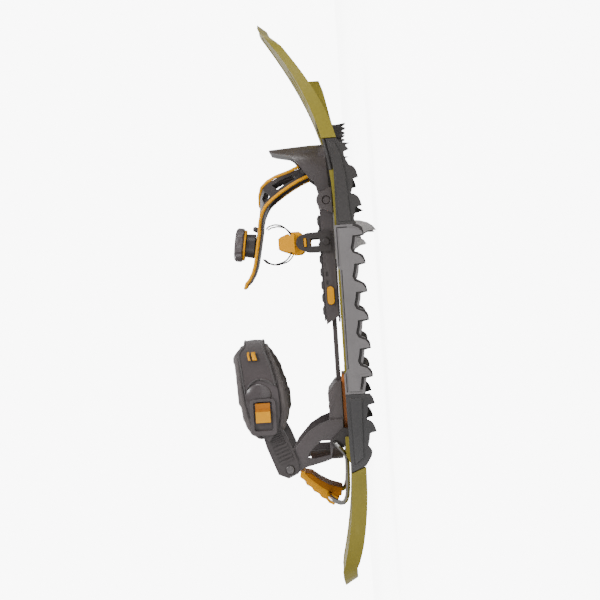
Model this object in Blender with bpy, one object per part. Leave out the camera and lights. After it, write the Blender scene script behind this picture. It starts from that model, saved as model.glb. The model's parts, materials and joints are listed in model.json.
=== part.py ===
"""A snowshoe: a rockered deck on toothed traction rails, with a pivoting boot binding.

Lengths are in millimetres until a mesh is written. X points to the tip, Y to the left, Z up, and
the steel claws under the binding reach Z = 0. Every moving body hangs from an empty on its joint.
"""

import math

import bmesh
import bpy
from mathutils import Matrix, Vector
from mathutils.geometry import tessellate_polygon

MM = 0.001
FIT = 0.3                        # gap between two pieces that touch
SLIDE = 0.4                      # gap round a piece that slides or turns in another

# Deck
TIP_X, TAIL_X = 300.0, -300.0    # the two ends
FRONT_RAIL_X = 168.0             # front end of the front rails
REAR_RAIL_X = -174.0             # rear end of the rear rails, at the deck
HALF_WIDTH = 107.0               # at the widest place, beside the toe
WAIST = 12.0                     # how much narrower each side is at the middle of the foot
DECK_TOP = 43.0
DECK_WALL = 5.0
RIM_WALL = 12.0                  # width of the rim round the deck
LIP = 0.14                       # height of the rim's raised lip, in deck walls
RIM_STEP = 0.6                   # how far the rim stands below the deck's underside beside the rails
TIP_RIM, TAIL_RIM = 15.0, 16.0   # depth of the rim where it leaves the rails
TIP_END_RIM, TAIL_END_RIM = 10.0, 13.5   # and at the two ends
BEND_X, TAIL_BEND_X = 100.0, -175.0
TIP_RISE, TAIL_RISE = 68.5, 15.5
TIP_CURVE = 2.1                  # how late the tip turns up
END_SLANT = 8.0                  # how far the underside of each end stays back
OPENING_FRONT, OPENING_REAR = 191.0, 36.0
OPENING_HALF = 61.0

# Traction rails
RAIL_WALL = 5.5
RAIL_PANEL = 1.4                 # raised middle of a rail's outer face
RAIL_LEDGE, LEDGE_WALL = 12.0, 4.0
TEETH_Z = 14.0                   # the plane the plastic teeth stand on
VALLEY_Z = 24.5
PITCH = 28.8
FRONT_JOINT_X, REAR_JOINT_X = 80.0, -93.0
RAIL_END_LEAN = 7.0
TOOTH = ((0, 0), (0.03, 0.32), (0.105, 0.62), (0.22, 0.81), (0.355, 0.93), (0.45, 1), (0.48, 0.61),
         (0.505, 0.34), (0.71, 0.27), (0.905, 0.14))     # (share of the pitch, share of the depth)
RELIEF = ((0.05, 0.16), (0.15, 0.63), (0.29, 0.85), (0.42, 0.92), (0.445, 0.19), (0.66, 0.12), (0.89, 0))
RELIEF_Z = VALLEY_Z + 4          # the raised panel's edge, which follows the teeth

# Binding pivot
PIVOT_X, PIVOT_Z = 107.0, 50.0
AXLE_R = 4.0
HUB_R = 9.5
BLOCK_R, BLOCK_WIDTH = 10.5, 14.0

# Binding plate and its fittings
PLATE_HALF = 48.0
PLATE_BOTTOM, PLATE_TOP = 45.0, 58.0
PLATE_REAR, PLATE_FRONT = -22.0, 98.0
TREAD_WALL, TREAD_BUMP, TREAD_PITCH = 1.7, 1.5, 13.5
STEEL = 2.2
CLAW_Y, SMALL_CLAW_Y = 45.0, 30.0
TOE_HALF, TOE_WALL = 53.0, 4.5
TOE_TOP = 107.0
LUG_X, LUG_HALF, LUG_WALL, LUG_TOP = 65.0, 11.0, 3.0, 84.5
HOOK_TOP = 103.0
LACE_R = 0.6
LACE_SEAT_R = 22.5               # curve of the lace's channel in a hook
LACE_Z = LUG_TOP + 3.2 + LACE_SEAT_R     # and its centre
BUTTON_X, BUTTON_Z = 8.2, 51.9
BUTTON_LONG, BUTTON_HIGH, BUTTON_PROUD = 19.0, 7.2, 2.8

# Heel unit
BAR_HALF, BAR_WALL, BAR_BOTTOM = 13.0, 5.0, 47.5
BAR_FRONT = 45.0
HEEL_FRONT, HEEL_REAR = -82.0, -136.0
HEEL_PAD_WALL = 3.4
HEEL_TOP = 62.0
CUP_HALF, CUP_WALL = 50.0, 3.6
CUP_REAR = -167.0
ANKLE_X, ANKLE_Z = -170.0, 106.0
STRAP_WIDE, STRAP_WALL = 24.5, 2.6

# Instep tongue with its dial
TONGUE_X, TONGUE_Z = 139.5, 72.5
TONGUE_WALL, TRIM_R = 3.6, 1.8
DIAL_X, DIAL_Z, DIAL_TILT = 65.2, 129.15, math.radians(9.0)
DIAL_R, DIAL_HIGH, DIAL_LOBES = 18.3, 9.5, 16
BASE_R, BASE_HIGH = 13.0, 9.6
SPOOL_R, POST_R = 10.0, 4.0

# Ankle pad
PAD_HALF, PAD_WALL = CUP_HALF, 10.0
SHELL_WALL = 2.4
SHELL_GAP = STRAP_WALL + 2 * FIT     # the straps run between the pad and its shell

# Heel lift
LIFT_X, LIFT_Z = -145.0, 57.0
WIRE_R, WIRE_Y = 2.5, 59.0
BRACKET_WALL = 3.6
GRIP_HALF = 22.0
GRIP_BACK, GRIP_Z = 57.0, 67.5    # the wire in the grip, behind the pivot and above the ground

OLIVE = (0.352, 0.305, 0.092)
CHARCOAL = (0.072, 0.070, 0.068)
GREY = (0.262, 0.255, 0.262)
PLASTIC = (0.098, 0.081, 0.085)
BLACK = (0.045, 0.038, 0.036)
YELLOW = (0.775, 0.402, 0.026)
ORANGE = (0.485, 0.156, 0.021)
FABRIC = (0.114, 0.095, 0.095)
STEEL_GREY = (0.46, 0.45, 0.44)


# ---------------------------------------------------------------- curves

def smooth(points, steps=5):
    """A Catmull-Rom curve through the points, as a finer list of points."""
    points = [Vector(point) for point in points]
    padded = [2 * points[0] - points[1]] + points + [2 * points[-1] - points[-2]]
    curve = []
    for a, b, c, d in zip(padded, padded[1:], padded[2:], padded[3:]):
        for step in range(steps):
            t = step / steps
            curve.append(0.5 * (2 * b + (c - a) * t + (2 * a - 5 * b + 4 * c - d) * t ** 2
                                + (3 * b - a - 3 * c + d) * t ** 3))
    return curve + [points[-1]]


def arc(x, z, radius, start, end, steps):
    """Points on a circle from one angle to another, in degrees."""
    angles = [math.radians(start + (end - start) * i / steps) for i in range(steps + 1)]
    return [(x + radius * math.cos(a), z + radius * math.sin(a)) for a in angles]


def pill(x, z, half_long, half_high, corner, steps=4):
    """A rectangle with round corners, anticlockwise."""
    long, high = half_long - corner, half_high - corner
    centres = ((x + long, z + high), (x - long, z + high), (x - long, z - high), (x + long, z - high))
    corners = [arc(*centre, corner, 90 * i, 90 * i + 90, steps) for i, centre in enumerate(centres)]
    return sum(corners, [])


def along(points, x):
    """The second coordinate of a curve at x; the curve's first coordinate only grows."""
    for a, b in zip(points, points[1:]):
        if a[0] <= x <= b[0]:
            return a[1] + (b[1] - a[1]) * (x - a[0]) / max(b[0] - a[0], 1e-9)
    return points[0][1] if x < points[0][0] else points[-1][1]


# ---------------------------------------------------------------- solids

PLANES = {"XZ": lambda a, b, c: (a, c, b), "XY": lambda a, b, c: (a, b, c)}


def prism(outline, low, high, plane="XZ", holes=()):
    """A straight solid: an outline with holes in one plane, between two levels on the third axis."""
    place = PLANES[plane]
    loops = [[Vector((a, b, 0)) for a, b in loop] for loop in (outline, *holes)]
    caps = tessellate_polygon(loops) if holes else [range(len(outline))]
    solid = bmesh.new()
    points = [point for loop in loops for point in loop]
    sides = [[solid.verts.new(place(p.x, p.y, level)) for p in points] for level in (low, high)]
    for side in sides:
        for cap in caps:
            solid.faces.new([side[i] for i in cap])
    start = 0
    for loop in loops:
        for i in range(len(loop)):
            j = (i + 1) % len(loop)
            near, far = sides[0], sides[1]
            solid.faces.new((near[start + i], near[start + j], far[start + j], far[start + i]))
        start += len(loop)
    bmesh.ops.recalc_face_normals(solid, faces=solid.faces)
    return solid


def loft(sections):
    """A closed solid through closed sections with the same number of points."""
    solid = bmesh.new()
    rings = [[solid.verts.new(point) for point in section] for section in sections]
    for near, far in zip(rings, rings[1:]):
        for i in range(len(near)):
            j = (i + 1) % len(near)
            solid.faces.new((near[i], near[j], far[j], far[i]))
    solid.faces.new(rings[0])
    solid.faces.new(rings[-1])
    bmesh.ops.recalc_face_normals(solid, faces=solid.faces)
    return solid


def turned(profile, sides, lobes=0, lobe=0.0):
    """A closed (radius, height) profile turned about Z; lobes wave the radii over 5 mm."""
    def rim(radius, turn):
        wave = lobe * (1 - math.cos(lobes * turn)) / 2 if lobes and radius > DIAL_R - 2 else 0
        return radius - wave

    solid = bmesh.new()
    rings = []
    for radius, height in profile:
        if radius == 0:
            rings.append([solid.verts.new((0, 0, height))] * sides)
            continue
        turns = [2 * math.pi * i / sides for i in range(sides)]
        rings.append([solid.verts.new((rim(radius, a) * math.cos(a), rim(radius, a) * math.sin(a), height))
                      for a in turns])
    for near, far in zip(rings, rings[1:] + rings[:1]):
        for i in range(sides):
            j = (i + 1) % sides
            corners = list(dict.fromkeys((near[i], near[j], far[j], far[i])))
            if len(corners) > 2:
                solid.faces.new(corners)
    bmesh.ops.recalc_face_normals(solid, faces=solid.faces)
    return solid


def rod(start, end, radius, sides=16):
    """A round rod between two points."""
    start, end = Vector(start), Vector(end)
    length = (end - start).length
    solid = turned([(0, 0), (radius, 0), (radius, length), (0, length)], sides)
    spin = Vector((0, 0, 1)).rotation_difference(end - start).to_matrix().to_4x4()
    solid.transform(Matrix.Translation(start) @ spin)
    return solid


def block(x, y, z):
    """A box from its three (low, high) pairs."""
    return prism([(x[0], z[0]), (x[1], z[0]), (x[1], z[1]), (x[0], z[1])], *y)


def boolean(base, tool, operation):
    """The union, difference or intersection of two solids, as a new one."""
    pair = []
    for solid in (base, tool):
        mesh = bpy.data.meshes.new("tool")
        solid.to_mesh(mesh)
        solid.free()
        pair.append(bpy.data.objects.new("tool", mesh))
        bpy.context.collection.objects.link(pair[-1])
    modifier = pair[0].modifiers.new("shape", "BOOLEAN")
    modifier.operation = operation
    modifier.object = pair[1]
    evaluated = pair[0].evaluated_get(bpy.context.evaluated_depsgraph_get())
    result = bmesh.new()
    result.from_mesh(evaluated.to_mesh())
    for item in pair:
        bpy.data.meshes.remove(item.data)
    bmesh.ops.dissolve_degenerate(result, edges=result.edges, dist=1e-3)
    return result


def fuse(base, *tools):
    for tool in tools:
        base = boolean(base, tool, "UNION")
    return base


def cut(base, *tools):
    for tool in tools:
        base = boolean(base, tool, "DIFFERENCE")
    return base


def mirrored(solid):
    """The same solid on the other side of the middle plane."""
    copy = solid.copy()
    copy.transform(Matrix.Scale(-1, 4, Vector((0, 1, 0))))
    bmesh.ops.reverse_faces(copy, faces=copy.faces)
    return copy


# ---------------------------------------------------------------- bodies and materials

DIAL_AXIS = Vector((math.sin(DIAL_TILT), 0, math.cos(DIAL_TILT)))
DIAL_SEAT = Vector((DIAL_X, 0, DIAL_Z)) + DIAL_AXIS * FIT
FRAME_Y = PAD_HALF + SHELL_GAP + SHELL_WALL + FIT    # inner face of the ratchet's frame
LEVER_X, LEVER_Y, LEVER_Z = -100.5, -(FRAME_Y + 4.6), 130.0

BODIES = {                                       # name: (parent, joint position)
    "deck": (None, (0, 0, 0)),
    "binding": ("deck", (PIVOT_X, 0, PIVOT_Z)),
    "size_button": ("binding", (BUTTON_X, -PLATE_HALF, BUTTON_Z)),
    "heel_unit": ("binding", (HEEL_FRONT, 0, BAR_BOTTOM)),
    "ankle_strap": ("heel_unit", (ANKLE_X, 0, ANKLE_Z)),
    "ratchet_lever": ("ankle_strap", (LEVER_X, LEVER_Y, LEVER_Z)),
    "tongue": ("binding", (TONGUE_X, 0, TONGUE_Z)),
    "lace_reel": ("tongue", tuple(DIAL_SEAT)),
    "dial": ("lace_reel", tuple(DIAL_SEAT)),
    "heel_lift": ("deck", (LIFT_X, 0, LIFT_Z)),
}


def make_bodies():
    """One empty for each body, on its joint's axis, parented in the order of the joints."""
    empties = {}
    for name, (parent, position) in BODIES.items():
        empty = bpy.data.objects.new("body_" + name, None)
        bpy.context.collection.objects.link(empty)
        offset = Vector(position)
        if parent:
            empty.parent = empties[parent]
            offset -= Vector(BODIES[parent][1])
        empty.location = offset * MM
        empties[name] = empty
    return empties


def paint(item, colour, roughness, metallic=0.0):
    material = bpy.data.materials.new(item.name)
    material.use_nodes = True
    shader = material.node_tree.nodes["Principled BSDF"]
    shader.inputs["Base Color"].default_value = (*colour, 1)
    shader.inputs["Roughness"].default_value = roughness
    shader.inputs["Metallic"].default_value = metallic
    item.data.materials.append(material)


def add(name, solid, body, colour, roughness=0.5, metallic=0.0):
    """One node: the solid becomes a mesh in metres whose origin is its body's joint."""
    position = Vector(BODIES[body][1])
    solid.transform(Matrix.Scale(MM, 4) @ Matrix.Translation(-position))
    mesh = bpy.data.meshes.new(name)
    solid.to_mesh(mesh)
    solid.free()
    mesh.shade_smooth()
    mesh.set_sharp_from_angle(angle=math.radians(35))
    item = bpy.data.objects.new(name, mesh)
    bpy.context.collection.objects.link(item)
    item.parent = EMPTIES[body]
    paint(item, colour, roughness, metallic)
    return item


def add_pair(name, solid, body, colour, roughness=0.5, metallic=0.0):
    """The piece on the left, and its mirror image on the right."""
    add(name + "_right", mirrored(solid), body, colour, roughness, metallic)
    add(name + "_left", solid, body, colour, roughness, metallic)


def add_tube(name, points, radius, body, colour, roughness=0.5, metallic=0.0):
    """One node: a round tube with flat ends along a list of points."""
    position = Vector(BODIES[body][1])
    curve = bpy.data.curves.new(name, "CURVE")
    curve.dimensions = "3D"
    curve.bevel_depth = radius * MM
    curve.bevel_resolution = 2
    curve.use_fill_caps = True
    spline = curve.splines.new("POLY")
    spline.points.add(len(points) - 1)
    for knot, point in zip(spline.points, points):
        knot.co = (*((Vector(point) - position) * MM), 1)
    item = bpy.data.objects.new(name, curve)
    bpy.context.collection.objects.link(item)
    item.parent = EMPTIES[body]
    paint(item, colour, roughness, metallic)
    return item


# ---------------------------------------------------------------- deck

def half_plan():
    """The deck's outer edge on the left, from tail to tip, as (x, half width)."""
    tail, tip = REAR_RAIL_X - TAIL_X, TIP_X - FRONT_RAIL_X
    middle = (FRONT_RAIL_X + REAR_RAIL_X) / 2
    knots = [
        (TAIL_X, HALF_WIDTH - 87), (TAIL_X + 0.07 * tail, HALF_WIDTH - 66),
        (TAIL_X + 0.22 * tail, HALF_WIDTH - 49), (TAIL_X + 0.5 * tail, HALF_WIDTH - 33),
        (REAR_RAIL_X, HALF_WIDTH - 17),
        (REAR_RAIL_X + 70, HALF_WIDTH - WAIST), (middle, HALF_WIDTH - WAIST - 1),
        (FRONT_RAIL_X - 105, HALF_WIDTH - 8), (FRONT_RAIL_X - 50, HALF_WIDTH - 1), (FRONT_RAIL_X, HALF_WIDTH),
        (TIP_X - 0.72 * tip, HALF_WIDTH - 7), (TIP_X - 0.45 * tip, HALF_WIDTH - 26),
        (TIP_X - 0.22 * tip, HALF_WIDTH - 51), (TIP_X - 0.07 * tip, HALF_WIDTH - 76),
        (TIP_X, HALF_WIDTH - 93),
    ]
    return [(p.x, p.y) for p in smooth([(x, y, 0) for x, y in knots], 3)]


PLAN = half_plan()


def half_width(x):
    return along(PLAN, x)


def deck_top(x):
    """Height of the deck's upper face, bent up at both ends."""
    if x > BEND_X:
        bend = (x - BEND_X) / (0.963 * (TIP_X - BEND_X))
        return DECK_TOP + TIP_RISE * min(bend, 1) ** TIP_CURVE
    if x < TAIL_BEND_X:
        bend = (TAIL_BEND_X - x) / (0.87 * (TAIL_BEND_X - TAIL_X))
        return DECK_TOP + TAIL_RISE * (min(bend, 1) ** 2 - max(bend - 1, 0))
    return DECK_TOP


def deck_edge(x):
    """Half width of the deck itself, which stands inside the rails where there are rails."""
    railed = REAR_RAIL_X - FIT < x < FRONT_RAIL_X + FIT
    return half_width(x) - (RAIL_WALL + RAIL_PANEL + FIT if railed else 0)


def inset(points, distance):
    """A polyline moved to its right by a distance, in the plane."""
    moved = []
    for i, point in enumerate(points):
        before, after = points[max(i - 1, 0)], points[min(i + 1, len(points) - 1)]
        way = (Vector(after) - Vector(before)).normalized()
        moved.append((point[0] + way.y * distance, point[1] - way.x * distance))
    return moved


def both_sides(points):
    """A closed outline from its left half."""
    return points + [(x, -y) for x, y in points[::-1]]


def bisected(solid, stations):
    """The solid with extra edges at each station along X, ready to bend."""
    for x in stations:
        geometry = solid.verts[:] + solid.edges[:] + solid.faces[:]
        bmesh.ops.bisect_plane(solid, geom=geometry, dist=1e-3, plane_co=(x, 0, 0), plane_no=(1, 0, 0))
    bmesh.ops.triangulate(solid, faces=solid.faces)
    return solid


def deck_frame():
    """Flat first, with its levels in deck walls below the rim's top, then bent."""
    front, rear = FRONT_RAIL_X + FIT, REAR_RAIL_X - FIT
    edge = [p for p in PLAN if p[0] < rear - 1] + [(rear, half_width(rear)), (rear, deck_edge(REAR_RAIL_X))]
    edge += [(x, deck_edge(x)) for x, _ in PLAN if rear + 1 < x < front - 1]
    edge += [(front, deck_edge(FRONT_RAIL_X)), (front, half_width(front))]
    edge += [p for p in PLAN if p[0] > front + 1]
    under = RIM_WALL - 4                                 # the plate reaches this far into the rim
    inner = [p for p in inset(PLAN, RIM_WALL) if TAIL_X + RIM_WALL < p[0] < TIP_X - RIM_WALL]
    plate_edge = [p for p in inset(PLAN, under) if TAIL_X + under < p[0] < TIP_X - under]
    ring = cut(prism(both_sides(edge), -2.0, 0.0, "XY"), prism(both_sides(inner), -3.0, 1.0, "XY"))
    middle = (OPENING_FRONT + OPENING_REAR) / 2
    openings = [pill(middle, 0, (OPENING_FRONT - OPENING_REAR) / 2, OPENING_HALF, 14)]
    for side in (1, -1):
        openings.append(pill(-20, side * 48, 34, 11, 10))
        openings.append(pill(TAIL_X + 66, side * 25, 28, 11, 10))
        openings.append(pill(TIP_X - 72, side * 27, 20, 14, 12))
    cutters = [prism(opening, -3.0, 1.0, "XY") for opening in openings]
    deck = fuse(cut(prism(both_sides(plate_edge), -1.0, -LIP, "XY"), *cutters), ring)
    bends = [*range(-290, -175, 19), REAR_RAIL_X, *range(112, 166, 14), FRONT_RAIL_X, *range(184, 296, 16)]
    deck = bisected(deck, bends)
    for vertex in deck.verts:
        x, level = vertex.co.x, vertex.co.z
        vertex.co.z = deck_top(x) + level * DECK_WALL
        if level < -1.5:
            vertex.co.z = deck_top(x) - rim_depth(x)
            end = max(0, (x - TIP_X) / 30 + 1) if x > 0 else -max(0, (TAIL_X - x) / 30 + 1)
            vertex.co.x -= END_SLANT * end
            if abs(x - rear) < 0.1:
                vertex.co.x += RAIL_END_LEAN * TAIL_RIM / (DECK_TOP - VALLEY_Z)
    add("deck_frame", deck, "deck", OLIVE, 0.38)


def rim_depth(x):
    """Depth of the deck's rim: shallow between the rails, deep round the tip and the tail."""
    if x > FRONT_RAIL_X + FIT / 2:
        taper = (x - FRONT_RAIL_X - 18) / (TIP_X - FRONT_RAIL_X - 60)
        return TIP_RIM + (TIP_END_RIM - TIP_RIM) * min(max(taper, 0), 1)
    if x < REAR_RAIL_X - FIT / 2:
        taper = (REAR_RAIL_X - 80 - x) / (REAR_RAIL_X - 80 - TAIL_X)
        return TAIL_RIM + (TAIL_END_RIM - TAIL_RIM) * max(taper, 0)
    return DECK_WALL + RIM_STEP


def tip_keel():
    """The fin under the upturned tip."""
    front, rear = TIP_X - 62, TIP_X - 112
    gap = DECK_WALL + FIT
    outline = [(x, deck_top(x) - gap) for x in (rear, (2 * rear + front) / 3, (rear + 2 * front) / 3, front)]
    outline += [(front, deck_top(front) - 27), (front - 12, deck_top(front) - 31)]
    outline += [(rear, deck_top(rear) - 18)]
    add("tip_keel", prism(outline, -2, 2), "deck", OLIVE, 0.4)


# ---------------------------------------------------------------- traction rails

def teeth(start, tips, shape=TOOTH, valley=VALLEY_Z):
    """The lower edge of a rail, tooth by tooth towards the rear, from the valley at start."""
    edge = []
    for i, tip_z in enumerate(tips):
        edge += [(start - (i + share) * PITCH, valley - depth * (valley - tip_z)) for share, depth in shape]
    return edge


def rail(name, top, bottom, panel, colour, ledge_from, ledge_to, roughness):
    """A toothed wall outside the deck's edge, with a ledge under the deck and a raised panel."""
    wall = prism(top + bottom, 0, RAIL_WALL)
    raised = prism(panel, RAIL_WALL - 0.5, RAIL_WALL + RAIL_PANEL)
    stations = [ledge_from + (ledge_to - ledge_from) * i / 6 for i in range(7)]
    low = DECK_WALL + RIM_STEP + FIT + LEDGE_WALL
    ledge = loft([[(x, -RAIL_LEDGE, deck_top(x) - low), (x, 0.5, deck_top(x) - low),
                   (x, 0.5, deck_top(x) - low + LEDGE_WALL), (x, -RAIL_LEDGE, deck_top(x) - low + LEDGE_WALL)]
                  for x in stations])
    solid = fuse(wall, raised, ledge)
    solid = bisected(solid, range(-171, 170, 20))
    for vertex in solid.verts:
        vertex.co.y += half_width(vertex.co.x) - RAIL_WALL - RAIL_PANEL
    add_pair(name, solid, "deck", colour, roughness)


def rails():
    front, rear = FRONT_JOINT_X + FIT / 2, REAR_JOINT_X - FIT / 2
    first = FRONT_RAIL_X - 28.2                          # valley before the first big tooth
    top = [(front, DECK_TOP - 1.8), (FRONT_RAIL_X - 32, deck_top(FRONT_RAIL_X - 32) - 4.5),
           (FRONT_RAIL_X, deck_top(FRONT_RAIL_X) - 4.2)]
    nose = [(FRONT_RAIL_X, 36), (FRONT_RAIL_X - 4.5, 33), (FRONT_RAIL_X - 6.2, 22.4), (FRONT_RAIL_X - 8, 27),
            (FRONT_RAIL_X - 12.5, 23.7), (FRONT_RAIL_X - 14.5, 29), (FRONT_RAIL_X - 20, 28.6)]
    bottom = nose + teeth(first, (TEETH_Z + 2, TEETH_Z))
    bottom = [p for p in bottom if p[0] > front + 1] + [(front, 21)]
    panel = [(front + 3, 26), (front + 3, 39), (FRONT_RAIL_X - 30, 39.5), (FRONT_RAIL_X - 4, 43.5),
             (FRONT_RAIL_X - 4, 38), (FRONT_RAIL_X - 18, 32), (FRONT_RAIL_X - 36, 29)]
    rail("front_rail", top, bottom, panel, CHARCOAL, front + 3, FRONT_RAIL_X - 1, 0.5)

    front, rear = FRONT_JOINT_X - FIT / 2, REAR_JOINT_X + FIT / 2
    first = first - 2 * PITCH - 1.2
    ridge, low = DECK_TOP + 0.5, DECK_TOP - 2.4
    top = [(rear, ridge), (-73, ridge), (-69, low), (34, low), (38, ridge), (front, ridge)]
    bottom = [p for p in teeth(first, (TEETH_Z,) * 6) if rear + 1 < p[0] < front - 1]
    bottom = [(front, 20)] + bottom + [(rear, 23.8)]
    relief = [p for p in teeth(first, (TEETH_Z,) * 6, RELIEF, RELIEF_Z) if rear + 5 < p[0] < front - 5]
    panel = [(front - 3.5, 25), (front - 3.5, 39.5), (rear + 3, 39.5), (rear + 3, RELIEF_Z)] + relief[::-1]
    rail("mid_rail", top, bottom, panel, GREY, rear + 1, front - 1, 0.42)

    rear = REAR_JOINT_X - FIT / 2
    top = [(REAR_RAIL_X + 0.6, DECK_TOP - 0.5), (rear, DECK_TOP + 0.5)]
    lean_x = REAR_RAIL_X + RAIL_END_LEAN
    start = rear + 2.7                                   # the first tooth is cut short by the joint
    bottom = [p for p in teeth(start, (TEETH_Z, TEETH_Z)) if p[0] < rear - 1]
    heel = [(20.5, 23.3), (17.5, 20.8), (14.5, 19.6), (10, 20.6), (5, 23.6), (0, 27)]
    bottom = [(rear, 18.6)] + bottom + [(lean_x + x, z) for x, z in heel]
    panel = [(rear - 4, 27), (rear - 4, 39.5), (REAR_RAIL_X + 9, 38.5), (REAR_RAIL_X + 16, 29)]
    rail("rear_rail", top, bottom, panel, CHARCOAL, REAR_RAIL_X + 12, rear - 1, 0.5)


def toe_claws():
    """A jagged ice claw under each side of the deck, just ahead of the rails."""
    rear, front = FRONT_RAIL_X + 1, FRONT_RAIL_X + 15.5
    gap = DECK_WALL + FIT
    spikes = [(front, 44), (front - 1, 36), (front + 0.5, 25), (front - 3, 31), (front - 4.5, 25.4), (front - 7, 31),
              (front - 9.5, 26.2), (front - 11.5, 32), (rear, 29.5)]
    outline = [(rear, deck_top(rear) - gap), (front, deck_top(front) - gap - 1)] + spikes
    fins = [prism(outline, y, y + 3) for y in (66, 75, 84)]
    bridge = [(rear, deck_top(rear) - gap - 1), (front, deck_top(front) - gap - 2.5), (front, 41), (rear, 37)]
    add_pair("toe_claw", fuse(prism(bridge, 65, 88), *fins), "deck", BLACK, 0.55)


# ---------------------------------------------------------------- pivot

def pivot():
    inner = OPENING_HALF
    outer = inner + BLOCK_WIDTH
    base = deck_top(PIVOT_X + BLOCK_R + 3) + FIT
    dome = [(PIVOT_X - BLOCK_R - 3, base), (PIVOT_X + BLOCK_R + 3, base)]
    dome += arc(PIVOT_X, PIVOT_Z, BLOCK_R, 10, 170, 10)
    bore = arc(PIVOT_X, PIVOT_Z, AXLE_R + SLIDE, 0, 345, 23)
    add_pair("pivot_block", prism(dome, inner, outer, "XZ", [bore]), "deck", PLASTIC, 0.4)
    axle = rod((PIVOT_X, -outer + 1, PIVOT_Z), (PIVOT_X, outer - 1, PIVOT_Z), AXLE_R)
    add("pivot_axle", axle, "deck", STEEL_GREY, 0.3, 1.0)
    hub_end = inner - SLIDE - 3
    bush = arc(PIVOT_X, PIVOT_Z, HUB_R - 1, 0, 345, 23)
    ring = prism(bush, hub_end + FIT, inner - SLIDE, "XZ", [bore])
    add_pair("axle_bush", ring, "binding", BLACK, 0.5)
    return hub_end


# ---------------------------------------------------------------- binding

def binding_plate(hub_end):
    profile = [(PLATE_REAR + 8, PLATE_BOTTOM), (PLATE_FRONT, PLATE_BOTTOM)]
    profile += [(PLATE_FRONT, PLATE_TOP), (PLATE_REAR, PLATE_TOP)]
    plate = prism(profile, -PLATE_HALF, PLATE_HALF)
    hub = prism(arc(PIVOT_X, PIVOT_Z, HUB_R, 0, 345, 23), -hub_end, hub_end)
    bore = rod((PIVOT_X, -hub_end - 5, PIVOT_Z), (PIVOT_X, hub_end + 5, PIVOT_Z), AXLE_R + SLIDE, 24)
    tunnel = block((PLATE_REAR - 10, BAR_FRONT + 36), (-BAR_HALF - SLIDE, BAR_HALF + SLIDE),
                   (BAR_BOTTOM - SLIDE, BAR_BOTTOM + BAR_WALL + SLIDE))
    pocket = prism(pill(BUTTON_X, BUTTON_Z, BUTTON_LONG / 2 + SLIDE, BUTTON_HIGH / 2 + SLIDE,
                        BUTTON_HIGH / 2 + SLIDE - 0.01), -PLATE_HALF - 1, -PLATE_HALF + 6)
    notches = [block((x - 2, x + 2), (side * PLATE_HALF - 1.5, side * PLATE_HALF + 1.5), (53, 55.5))
               for x in (22, 31) for side in (1, -1)]
    add("binding_plate", cut(fuse(plate, hub), bore, tunnel, pocket, *notches), "binding", PLASTIC, 0.45)


def tread_pad():
    """The grippy mat under the ball of the foot, with a row of round ribs."""
    rear, front = PLATE_REAR + 4, PLATE_FRONT - 5
    low, high = PLATE_TOP + FIT, PLATE_TOP + FIT + TREAD_WALL
    count = int((front - rear) / TREAD_PITCH)
    profile = [(front, low), (front, high)]
    for i in range(count):
        x = front - 6 - i * TREAD_PITCH
        profile += [(x + 5, high), (x + 3, high + TREAD_BUMP), (x - 3, high + TREAD_BUMP), (x - 5, high)]
    profile += [(rear, high), (rear, low)]
    add("tread_pad", prism(profile, -PLATE_HALF + 5, PLATE_HALF - 5), "binding", BLACK, 0.7)


def toe_stop():
    """The toe cup: an open box with round front corners and a tall thin bumper."""
    rear, front = PLATE_FRONT + 19.5, FRONT_RAIL_X
    side = [(rear, PLATE_BOTTOM + 1), (front - 1, PLATE_BOTTOM + 4), (front, PLATE_TOP), (front - 3.6, TOE_TOP),
            (front - 6, TOE_TOP), (front - 7.6, TOE_TOP - 5), (front - 10.6, TOE_TOP - 20),
            (front - 13.2, TOE_TOP - 23.7), (front - 22, TOE_TOP - 30.6), (front - 35.7, TOE_TOP - 40),
            (front - 40, PLATE_TOP + 3.5), (rear, PLATE_TOP + 1)]
    corner = [(rear - 1, TOE_HALF), (front - 30, TOE_HALF)]
    corner += arc(front - 30, TOE_HALF - 30, 30, 80, 10, 7)
    plan = corner + [(x, -y) for x, y in corner[::-1]]
    room = [(rear - 2, TOE_HALF - TOE_WALL), (front - 38, TOE_HALF - TOE_WALL)]
    room += arc(front - 38, TOE_HALF - TOE_WALL - 28, 28, 80, 10, 6)
    room = room + [(x, -y) for x, y in room[::-1]]
    cup = boolean(prism(side, -TOE_HALF - 5, TOE_HALF + 5), prism(plan, 30, 120, "XY"), "INTERSECT")
    add("toe_stop", cut(cup, prism(room, PLATE_TOP, 120, "XY")), "binding", PLASTIC, 0.4)


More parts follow.
